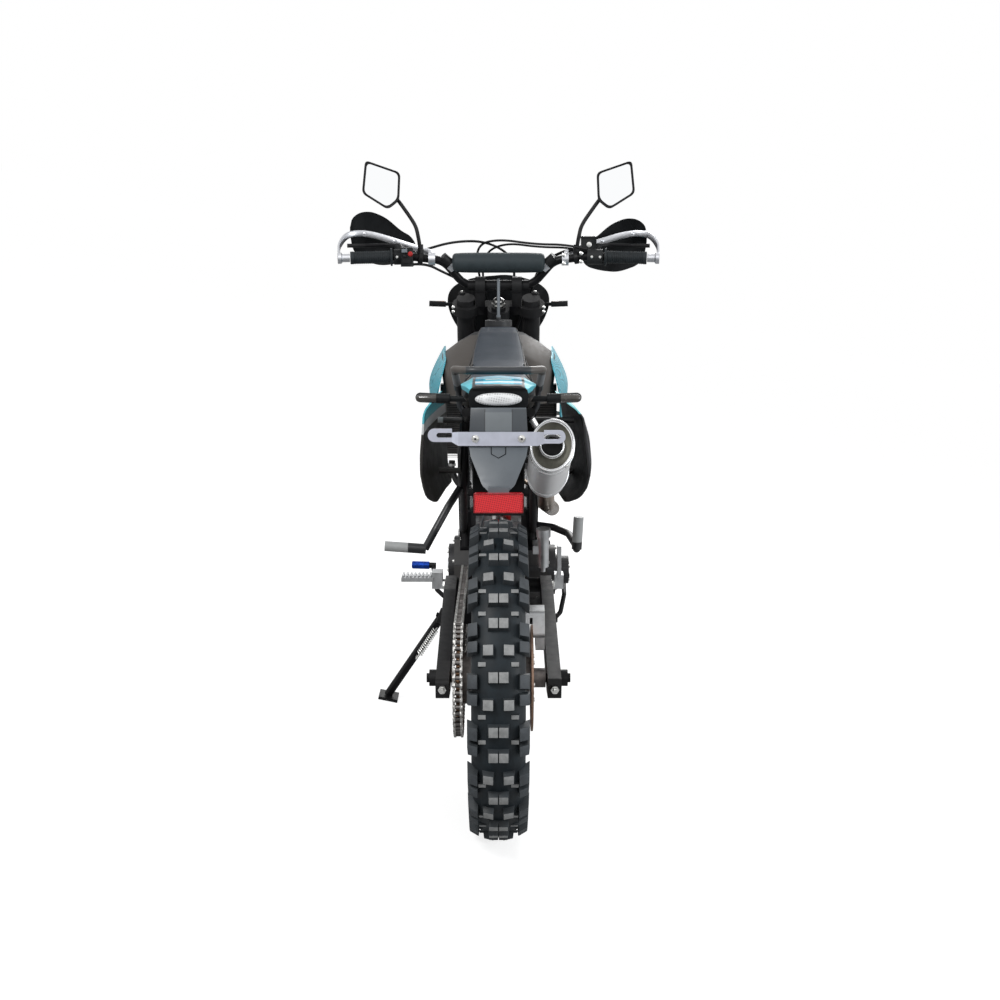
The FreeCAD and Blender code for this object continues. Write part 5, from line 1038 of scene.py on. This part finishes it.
def rounded(outline, radius, steps=5):
    """Closed outline of pairs with its corners rounded."""
    made = []
    for i, corner in enumerate(outline):
        corner = Vector(corner)
        before, after = Vector(outline[i - 1]), Vector(outline[(i + 1) % len(outline)])
        cut = min(radius, (before - corner).length / 2.1, (after - corner).length / 2.1)
        start = corner + (before - corner).normalized() * cut
        end = corner + (after - corner).normalized() * cut
        for k in range(steps + 1):
            t = k / steps
            made.append(start.lerp(corner, t).lerp(corner.lerp(end, t), t))
    return made


def crossing(outline, place):
    """Lowest and highest second value of an outline where its first value is the given one."""
    found = []
    for first, second in zip(outline, list(outline[1:]) + [outline[0]]):
        low, high = sorted((first[0], second[0]))
        if low <= place <= high and high - low > 1e-6:
            share = (place - first[0]) / (second[0] - first[0])
            found.append(first[1] + (second[1] - first[1]) * share)
    return min(found), max(found)


def along(stops, place):
    """Value at a place between sorted pairs, on straight runs from each pair to the next."""
    if place <= stops[0][0]:
        return stops[0][1]
    for (a, low), (b, high) in zip(stops, stops[1:]):
        if place <= b:
            return low + (high - low) * (place - a) / (b - a)
    return stops[-1][1]


def filled(outline, columns, rows, place):
    """Grid of points inside an outline: place turns its two values into a point."""
    firsts = [p[0] for p in outline]
    start, end = min(firsts) + 0.5, max(firsts) - 0.5
    grid = []
    for i in range(columns + 1):
        first = start + (end - start) * i / columns
        low, high = crossing(outline, first)
        grid.append([place(first, low + (high - low) * k / rows) for k in range(rows + 1)])
    return grid


def add_sheet(mesh, columns, push):
    """Curved plate: columns of points, all of one length, and the same again at a push."""
    sides = [[[mesh.verts.new(Vector(p) + Vector(move)) for p in column] for column in columns]
             for move in ((0, 0, 0), push)]
    edges = []
    for grid in sides:
        weave(mesh, grid)
        edges.append([c[0] for c in grid] + grid[-1][1:] + [c[-1] for c in reversed(grid[:-1])]
                     + grid[0][-2:0:-1])
    bridge(mesh, *edges)


def add_loft(mesh, sections):
    """Closed skin over mirrored half sections, each (y, [(x, z), ...]) from the top middle down."""
    rings = []
    for y, half in sections:
        line = half + [(-x, z) for x, z in reversed(half) if x > 0.01]
        rings.append([mesh.verts.new((x, y, z)) for x, z in line])
    skin(mesh, rings)


def between(sections, steps):
    """Half sections with smooth ones put in between."""
    full = sections[:1] + sections + sections[-1:]
    made = []
    for i in range(len(sections) - 1):
        rows = full[i:i + 4]
        for k in range(steps):
            weights = curve_weights(k / steps)
            y = rows[1][0] + (rows[2][0] - rows[1][0]) * k / steps
            half = [tuple(sum(w * p[axis] for w, p in zip(weights, points)) for axis in (0, 1))
                    for points in zip(*(half for _, half in rows))]
            made.append((y, half))
    return made + sections[-1:]


def add_strap(mesh, route, wide, thick):
    """Flat bar along a route, standing on edge."""
    corners = ((1, 0.8), (0.7, 1), (-0.7, 1), (-1, 0.8), (-1, -0.8), (-0.7, -1), (0.7, -1), (1, -0.8))
    rings = []
    for i, place in enumerate(route):
        way = (route[min(i + 1, len(route) - 1)] - route[max(i - 1, 0)]).normalized()
        side = way.cross(UP).normalized()
        up = side.cross(way).normalized()
        rings.append([mesh.verts.new(place + side * (a * thick / 2) + up * (b * wide / 2))
                      for a, b in corners])
    skin(mesh, rings)


def add_panel(mesh, side, outline, profile, stations, thick=3):
    """Body panel, its outline seen from the side: it bulges by a profile of height and a shift along y."""
    heights = sorted((z, x) for x, z in profile)

    def place(y, z):
        near = sum(along(heights, z + shift) for shift in (-12, -6, 0, 6, 12)) / 5
        return side * (near + along(stations, y)), y, z

    add_sheet(mesh, filled(rounded(outline, 26), 40, 18, place), (-side * thick, 0, 0))


def make_tank_cover():
    """Tank with sloping shoulders that narrow towards the seat's nose."""
    mesh = bmesh.new()
    sections = [
        (625, [(0, 930), (52, 926), (80, 915), (95, 898), (97, 885), (93, 862), (0, 858)]),
        (700, [(0, 990), (70, 976), (104, 960), (131, 936), (134, 912), (124, 856), (0, 852)]),
        (800, [(0, 1016), (74, 1012), (110, 996), (148, 968), (152, 944), (140, 856), (0, 850)]),
        (880, [(0, 1034), (66, 1024), (100, 1004), (140, 972), (148, 948), (134, 862), (0, 858)]),
        (940, [(0, 1024), (54, 1014), (84, 994), (106, 966), (108, 944), (94, 890), (0, 886)]),
        (985, [(0, 984), (30, 978), (40, 968), (46, 950), (45, 936), (40, 916), (0, 910)]),
    ]
    add_loft(mesh, between(sections, 8))
    add_lathe(mesh, (0, 888, 1014), UP, [(0, 44), (10, 42), (18, 34), (26, 31)], 32)
    made = finish_mesh("tank_cover", mesh, "root", TANK_PLASTIC, 50)
    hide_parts("fuel_tank")


def make_tail_cover():
    """Faceted tail, broad on top and drawn in below."""
    mesh = bmesh.new()
    add_loft(mesh, [
        (-44, [(0, 1008), (52, 1004), (78, 990), (72, 962), (0, 955)]),
        (-122, [(0, 1011), (50, 1008), (75, 997), (66, 982), (0, 966)]),
        (-176, [(0, 1010), (46, 1009), (66, 1001), (58, 986), (0, 974)]),
        (-199, [(0, 1005), (44, 1004), (58, 998), (52, 986), (0, 980)]),
    ])
    made = finish_mesh("tail_facets", mesh, "root", TAIL_BLUE, 12, 1.2)
    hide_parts("tail_cover")


def make_carrier():
    """Grey carrier that broadens downwards, with its pointed flap and a moulded chevron."""
    top, root, foot = 982, 893, 803
    slope = 0.78

    def half(z):
        return 53 + (top - z) * 0.055

    def on_flap(x, z, out=0.0):
        return x, -231 - out - (root - z) * slope, z

    side = [(-100, 944), (-100, 954), (-150, 958), (-222, 964), (-227, 940), (-230, 918), (-231, 892),
            (-206, 890), (-120, 899)]
    flap = [(-58, root), (58, root), (54, 872), (31, 822), (15, 809), (0, foot), (-15, 809), (-31, 822),
            (-54, 872)]
    mesh = bmesh.new()
    add_prism(mesh, [(-half(z), y, z) for y, z in side], (0, 0, 0), far=[(half(z), y, z) for y, z in side])
    add_prism(mesh, [on_flap(p.x, p.y) for p in rounded(flap, 4, 3)], (0, 9, 3))
    add_box(mesh, (-20, -302, 780), (20, -292, 822))
    made = finish_mesh("carrier_shell", mesh, "root", CARRIER_GREY, 30, 1.4)
    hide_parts("tail_carrier")
    mesh = bmesh.new()
    chevron = ((-14, 889), (-14, 877), (0, 870), (14, 877), (14, 889))
    add_tube(mesh, [on_flap(x, z, 0.6) for x, z in chevron], 0.9, 6)
    finish_mesh("carrier_chevron", mesh, "root", SOOT_PLASTIC, 30)


def make_stand_spring():
    """Return spring beside the side stand's leg, and the blue sleeve of the gear lever."""
    low, high = node_box("side_stand")
    top, foot = Vector((high.x - 16, 640, high.z - 26)), Vector((low.x + 30, 636, low.z + 24))
    way = (foot - top).normalized()
    out = BACK * 26
    start, end = top + way * 24 + out, top + way * 132 + out
    mesh = bmesh.new()
    add_spring(mesh, start + way * 14, end - way * 14, 7, 1.9, 13)
    for near, far, radius, count in ((start, start + way * 16, 2, 8), (end - way * 16, end, 2, 8),
                                     (start, start - out, 3, 10), (end, end - out, 3, 10)):
        add_rod(mesh, near, far, radius, count)
    finish_mesh("stand_spring", mesh, "side_stand", BRIGHT_BOLT, 50)
    mesh = bmesh.new()
    add_lathe(mesh, (-188, 828, 395.6), (-1, 0, 0.03), [(0, 9), (1, 10.5), (46, 10.5), (48, 8)], 20)
    finish_mesh("lever_sleeve", mesh, "root", BLUE_TIP, 50)


def make_shroud_covers():
    """Shrouds that bulge out beside the tank, with their bolts."""
    outline = [(690, 905), (760, 812), (850, 735), (915, 712), (980, 750), (1052, 870), (1056, 935),
               (1000, 978), (860, 988), (740, 962)]
    profile = [(141, 992), (160, 960), (181, 918), (188, 890), (185, 850), (177, 790), (169, 735),
               (164, 700)]
    stations = [(680, -36), (740, -21), (800, -8), (880, 0), (980, 0), (1066, -14)]
    heights = sorted((z, x) for x, z in profile)
    covers, bolts = bmesh.new(), bmesh.new()
    for side in (-1, 1):
        add_panel(covers, side, outline, profile, stations)
        for y, z in ((928, 800), (1010, 905)):
            x = along(heights, z) + along(stations, y)
            add_lathe(bolts, (side * (x - 1), y, z), (side, 0, 0),
                      [(0, 8), (1.6, 8), (2, 5.5), (4.4, 5), (5, 3)], 18)
            add_rod(bolts, (side * (x - 3), y, z), (side * (x - 36), y, z), 6, 12)
    made = finish_mesh("shroud_covers", covers, "root", SHROUD_BLUE, 40)
    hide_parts("tank_shrouds")
    finish_mesh("shroud_bolts", bolts, "root", BRIGHT_BOLT, 40)


def make_panel_covers():
    """Rounded side panels, the right one standing out round the silencer."""
    outline = [(106, 942), (110, 790), (137, 716), (212, 690), (480, 694), (534, 790), (484, 896),
               (300, 936)]
    stations = [(95, 0), (220, -6), (380, -22), (545, -46)]
    right = [(128, 946), (156, 930), (184, 908), (200, 856), (206, 795), (200, 742), (180, 708), (156, 692)]
    left = [(132, 948), (152, 932), (165, 912), (168, 872), (174, 818), (174, 772), (166, 722), (148, 686),
            (134, 670)]
    mesh = bmesh.new()
    for side, profile in ((1, right), (-1, left)):
        add_panel(mesh, side, outline, profile, stations, 4)
    for side, reach in ((1, 174), (-1, 140)):
        for y, z in ((300, 868), (350, 741)):
            add_rod(mesh, (side * 74, y, z), (side * reach, y, z), 7, 14)
    made = finish_mesh("panel_covers", mesh, "root", SIDE_PLASTIC, 40)
    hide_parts("side_panels")


def make_bracket():
    """Strip across the carrier with a stepped, slotted and rounded ear at each end."""
    low, high, thick = 892, 919, 3
    half, slices = 13, 48
    slot, slot_reach, slot_radius = 104, 11.2, 4.8
    mesh = bmesh.new()

    def add_ear(side, start, end, middle):
        """Plate with a rounded end and a long hole, in thin upright slices."""

        def rise(x):
            gap = max(x - (end - half), 0)
            return math.sqrt(max(half * half - gap * gap, 0)) if gap else half

        def hole(x):
            reach = max(abs(x - slot) - slot_reach, 0)
            return math.sqrt(max(slot_radius ** 2 - reach ** 2, 0))

        for i in range(slices):
            a, b = (start + (end - start) * k / slices for k in (i, i + 1))
            if max(rise(a), rise(b)) <= 0.5:
                continue
            for sign in (1, -1):
                add_prism(mesh, [(side * x, -244, middle + sign * z) for x, z in (
                    (a, hole(a)), (a, rise(a)), (b, rise(b)), (b, hole(b)))], (0, thick, 0))

    add_box(mesh, (-78, -238, low), (76, -238 + thick, high))
    for side, lift, end, root in ((-1, 8, 137, 78), (1, 5, 130, 76)):
        for k in range(4):
            a, b = root + k * 3, root + k * 3 + 3
            y = -238 - k * 1.5
            points = [(side * a, y, low + k * lift / 4), (side * a, y, high), (side * b, y - 1.5, high),
                      (side * b, y - 1.5, low + (k + 1) * lift / 4)]
            add_prism(mesh, points, (0, thick, 0))
        add_ear(side, root + 12, end, (low + high) / 2 + lift)
    for x, z in BRACKET_BOLTS:
        add_rod(mesh, (x, -235, z), (x, -212, z), 6)
    made = finish_mesh("bracket_strip", mesh, "root", BRACKET_STEEL, 30)
    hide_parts("plate_bracket")


def make_lamp():
    """Oval faceted lamp in a dark surround."""
    wide, high = 46, 12.6

    def level(grow, y):
        return [(wide * grow * math.copysign(abs(math.cos(angle)) ** 0.8, math.cos(angle)), y,
                 979 + high * grow * math.sin(angle)) for angle in turns(56)]

    mesh = bmesh.new()
    skin(mesh, [[mesh.verts.new(p) for p in level(grow, y)] for grow, y in (
        (1.0, -200), (1.0, -206), (0.96, -209), (0.8, -211.5), (0.5, -213.5), (0.2, -214.4))])
    made = finish_mesh("lamp_lens", mesh, "root", SPARKLE, 60)
    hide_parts("tail_lamp")
    mesh = bmesh.new()
    outline = rounded([(-57, 962), (57, 962), (59, 990), (54, 1001), (-54, 1001), (-59, 990)], 6, 4)
    add_prism(mesh, [(p.x, -204.5, p.y) for p in outline], (0, 8, 0))
    brow = [(-53, -205, 999), (-30, -209, 1001), (0, -210, 1002), (30, -209, 1001), (53, -205, 999)]
    add_tube(mesh, smooth_path(brow, 6), 2.2, 10)
    finish_mesh("lamp_surround", mesh, "root", SOOT_PLASTIC, 40, 0.8)


# Mirrors, guards, cables and switches

def make_mirror_heads():
    """Five-sided mirrors in thin frames on bent stems."""
    face = [(262, 1444), (356, 1476), (366, 1389), (297, 1346), (266, 1370)]
    middle = Vector((313, 1412))
    shell = ((0.875, 954), (0.88, 951.4), (0.985, 950.6), (1.0, 952.5), (1.0, 958), (0.96, 967), (0.8, 974),
             (0.5, 977))
    outline = rounded(face, 13, 6)
    backs, glass = bmesh.new(), bmesh.new()

    def level(mesh, side, grow, y):
        return [mesh.verts.new((side * (middle.x + (p.x - middle.x) * grow), y,
                                middle.y + (p.y - middle.y) * grow)) for p in outline]

    for side in (-1, 1):
        skin(backs, [level(backs, side, grow, y) for grow, y in shell])
        glass.faces.new(level(glass, side, 0.88, 953.2))
        root = on_bar(side * 210, 35.6, 82)
        stem = [root, root + Vector((0, -2, 14))]
        stem += [(side * x, y, z) for x, y, z in ((216, 944, 1276), (226, 953, 1308), (256, 964, 1352),
                                                  (276, 972, 1378))]
        add_tube(backs, smooth_path(stem), 5.2, 14)
        inner = on_bar(side * 204, 36, 81)
        way = on_bar(side * 216, 35.2, 83.3) - inner
        clamp = [(0, 15), (1, 16.2), (way.length - 1, 16.2), (way.length, 15)]
        add_lathe(backs, inner, way, clamp, 28)
        add_lathe(backs, root + UP * 12, (0, -0.05, 1), [(0, 10), (12, 10), (13, 8), (24, 8)], 6)
        add_lathe(backs, (side * 276, 974, 1378), (side * 0.3, 0.35, 0.9),
                  [(-6, 6), (-5, 8), (9, 8), (10, 6)], 16)
    made = finish_mesh("mirror_heads", backs, "steering", CABLE_BLACK, 40)
    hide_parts("mirrors")
    made = finish_mesh("mirror_faces", glass, "steering", MIRROR, 30)
    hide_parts("mirror_glasses")


def make_guard_shields():
    """Leaf-shaped shields ahead of the grips on alloy bars, the left one a little higher."""
    face = [(222, 1232), (240, 1262), (267, 1275), (310, 1312), (350, 1328), (380, 1326), (402, 1310),
            (408, 1280), (404, 1232), (386, 1200), (330, 1180), (278, 1186), (238, 1198)]
    band = [(200, 1006), (230, 1026), (262, 1042), (300, 1053), (336, 1057), (370, 1052), (396, 1038),
            (412, 1020)]
    strap = [(186, 984, 1232), (230, 1005, 1245), (284, 1016, 1262), (340, 1019, 1278), (384, 1014, 1283),
             (413, 996, 1276), (428, 966, 1255), (430, 944, 1236)]
    outline = rounded(face, 22)
    shields, bars = bmesh.new(), bmesh.new()
    for side, lift in ((-1, 14), (1, -4)):

        def place(x, z):
            bulge = 1 - ((z - 1252) / 78) ** 2
            return side * x, along(band, x) + 7 * bulge - 6, z + lift

        add_sheet(shields, filled(outline, 40, 12, place), (0, -4, 0))
        for x, z in ((284, 1262), (366, 1284)):
            add_rod(shields, (side * x, 1018, z), (side * x, along(band, x), z), 6, 12)
        route = [(side * x, y, z) for x, y, z in strap] + [bar_point(side, 427) + UP]
        add_strap(bars, smooth_path(route, 6), 17, 6)
        end = bar_point(side, 399)
        plug = [(0, 11), (20, 11), (23, 15), (32, 15), (33, 12)]
        add_lathe(bars, end, bar_point(side, 440) - end, plug, 24)
        root = on_bar(side * 180, 38, 77)
        add_lathe(bars, root + LEFT * 9, RIGHT, [(0, 17), (18, 17)], 28)
        add_rod(bars, root + STEER_FORWARD * 12, (side * 187, 985, 1233), 8, 14)
        add_bolts(bars, [(side * x, 1013, z) for x, z in ((284, 1262), (366, 1282))], BACK, 4.5, 4)
    made = finish_mesh("guard_shields", shields, "steering", SOOT_PLASTIC, 50)
    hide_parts("hand_guards")
    finish_mesh("guard_straps", bars, "steering", STRAP_ALLOY, 40)


def add_cable(name, points, radius, body="steering"):
    """Cable or hose as a curve through its own points."""
    data = bpy.data.curves.new(name, "CURVE")
    data.dimensions = "3D"
    data.bevel_depth = radius * MILLIMETRE
    data.bevel_resolution = 3
    data.resolution_u = 8
    spline = data.splines.new("NURBS")
    spline.points.add(len(points) - 1)
    for point, place in zip(spline.points, points):
        point.co = (*(TO_ROW @ Vector(place)), 1)
    spline.order_u = 3
    spline.use_endpoint_u = True
    made = new_object(name, data)
    data.materials.append(CABLE_BLACK)
    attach(made, body)


def make_cables():
    """Cables that arch over the pad and run down into the mask, and the front brake's hose."""
    left, right = bar_point(-1, 262), bar_point(1, 262)
    add_cable("clutch_cable", [
        left + Vector((20, 30, 4)), (-200, 1010, 1240), (-120, 1012, 1262), (-30, 1016, 1262),
        (40, 1050, 1220), (46, 1090, 1150), (40, 1105, 1090)], 3.4)
    add_cable("throttle_cable", [
        right + Vector((-24, -10, 20)), (190, 950, 1254), (100, 986, 1254), (0, 1000, 1268),
        (-60, 1030, 1252), (-58, 1080, 1180), (-40, 1105, 1100)], 3.2)
    add_cable("throttle_return", [
        right + Vector((-24, -4, 14)), (196, 968, 1246), (110, 1004, 1246), (20, 1016, 1258),
        (-40, 1050, 1230), (-46, 1094, 1150), (-30, 1110, 1090)], 3.0)
    add_cable("brake_hose", [
        on_bar(212, 60, 96), (170, 1010, 1236), (110, 1050, 1190), (92, 1088, 1120), (60, 1120, 1040),
        (30, 1120, 960)], 4.0)
    add_cable("front_brake_hose", [
        (-60, 1300, 436), (-74, 1282, 500), (-94, 1252, 580), (-80, 1190, 700), (-50, 1140, 820),
        (-30, 1116, 930)], 4.2)
    add_cable("switch_lead", [
        left + Vector((30, -6, -20)), (-196, 950, 1204), (-150, 966, 1180), (-90, 1010, 1150),
        (-50, 1060, 1120)], 3.6)


def make_bar_details():
    """Switches, reservoir lid, clamp rings and bolts on the handlebar, the stem nut and the fork caps."""
    bolt, red, grey, alloy, black = range(5)
    mesh = bmesh.new()
    left = bar_point(-1, 250)
    lid = bar_point(1, 250) + STEER_FORWARD * 38 + STEER_UP * 12
    for middle, low, high, material in (
            (left, (-9, -29, 12), (6, -23, 21), grey), (left, (-8, -27, -16), (16, -23, -4), black),
            (lid, (-28, -26, 20), (16, 24, 26), black)):
        add_box(mesh, middle + Vector(low), middle + Vector(high), material)
    add_bolts(mesh, [lid + Vector((x, y, 26)) for x in (-22, 10) for y in (-20, 18)], UP, 3, 2)
    studs = [(left + Vector((14, -23, 8)), [(0, 6.5), (4, 6.5), (5, 5), (7, 4)], 18, red),
             (left + Vector((-2, -23, 2)), [(0, 4), (3, 4), (4, 2.5)], 16, black),
             (lid + Vector((-6, -24, 4)), [(0, 7), (1.5, 7), (2, 5)], 20, bolt)]
    clamp_stud, switch_stud, yoke_stud = (
        [(0, 5), (4, 5), (5, 3)], [(0, 3.6), (2, 3.6), (3, 2.4)], [(0, 4.5), (3, 4.5), (4, 3)])
    for spot in (on_bar(176, 37.5, 77), on_bar(222, 35.2, 84)):
        studs += [(spot + Vector((0, -14, rise)), clamp_stud, 14, bolt) for rise in (-11, 11)]
    for side in (-1, 1):
        studs += [(bar_point(side, x) + BACK * 20, switch_stud, 12, bolt) for x in (250, 272)]
        studs += [(steered(side * 124, 2, rise), yoke_stud, 14, bolt) for rise in (852, 838)]
        low, high = on_bar(side * 119, 41, 50), on_bar(side * 131, 42, 62)
        add_lathe(mesh, low, high - low, [(0, 17), (1, 18.5), (17, 18.5), (18, 17)], 28, alloy)
    for spot, profile, count, material in studs:
        add_lathe(mesh, spot, BACK, profile, count, material)
    caps = [(0, 0, 862, [(0, 19), (3, 19), (3.5, 16), (14, 16), (16, 13)], 6, bolt),
            (0, 0, 876, [(0, 9), (4, 9), (5, 6)], 20, black)]
    for x in (-100, 100):
        caps += [(x, 28, 879, [(0, 11), (2, 11), (2.5, 9), (5, 9)], 6, black),
                 (x, 28, 884, [(0, 4), (3, 4), (4, 2.5)], 14, bolt)]
    for x, forward, up, profile, count, material in caps:
        add_lathe(mesh, steered(x, forward, up), STEER_UP, profile, count, material)
    finish_mesh("bar_details", mesh, "steering",
                [BRIGHT_BOLT, RED_SWITCH, HOSE_GREY, STRAP_ALLOY, CABLE_BLACK], 40)


# The whole dressed part

for material, names in PAINTS:
    for name in names.split():
        NODES[name].data.materials.clear()
        NODES[name].data.materials.append(material)
make_tyre("rear", REAR_AXLE, 40, "CCWCW", "rear_wheel")
make_tyre("front", FRONT_AXLE, 44, "CW", "front_wheel")
make_chain()
make_seat()
make_bar_pad()
make_grips()
make_shock()
make_muffler_end()
make_tail_details()
make_indicator_lenses()
make_nipples("rear", REAR_AXLE, "rear_wheel")
make_nipples("front", FRONT_AXLE, "front_wheel")
make_wheel_bolts()
make_engine_details()
make_radiator_cores()
make_axle_parts()
make_tank_cover()
make_carrier()
make_stand_spring()
make_tail_cover()
make_shroud_covers()
make_panel_covers()
make_bracket()
make_lamp()
make_mirror_heads()
make_guard_shields()
make_cables()
make_bar_details()
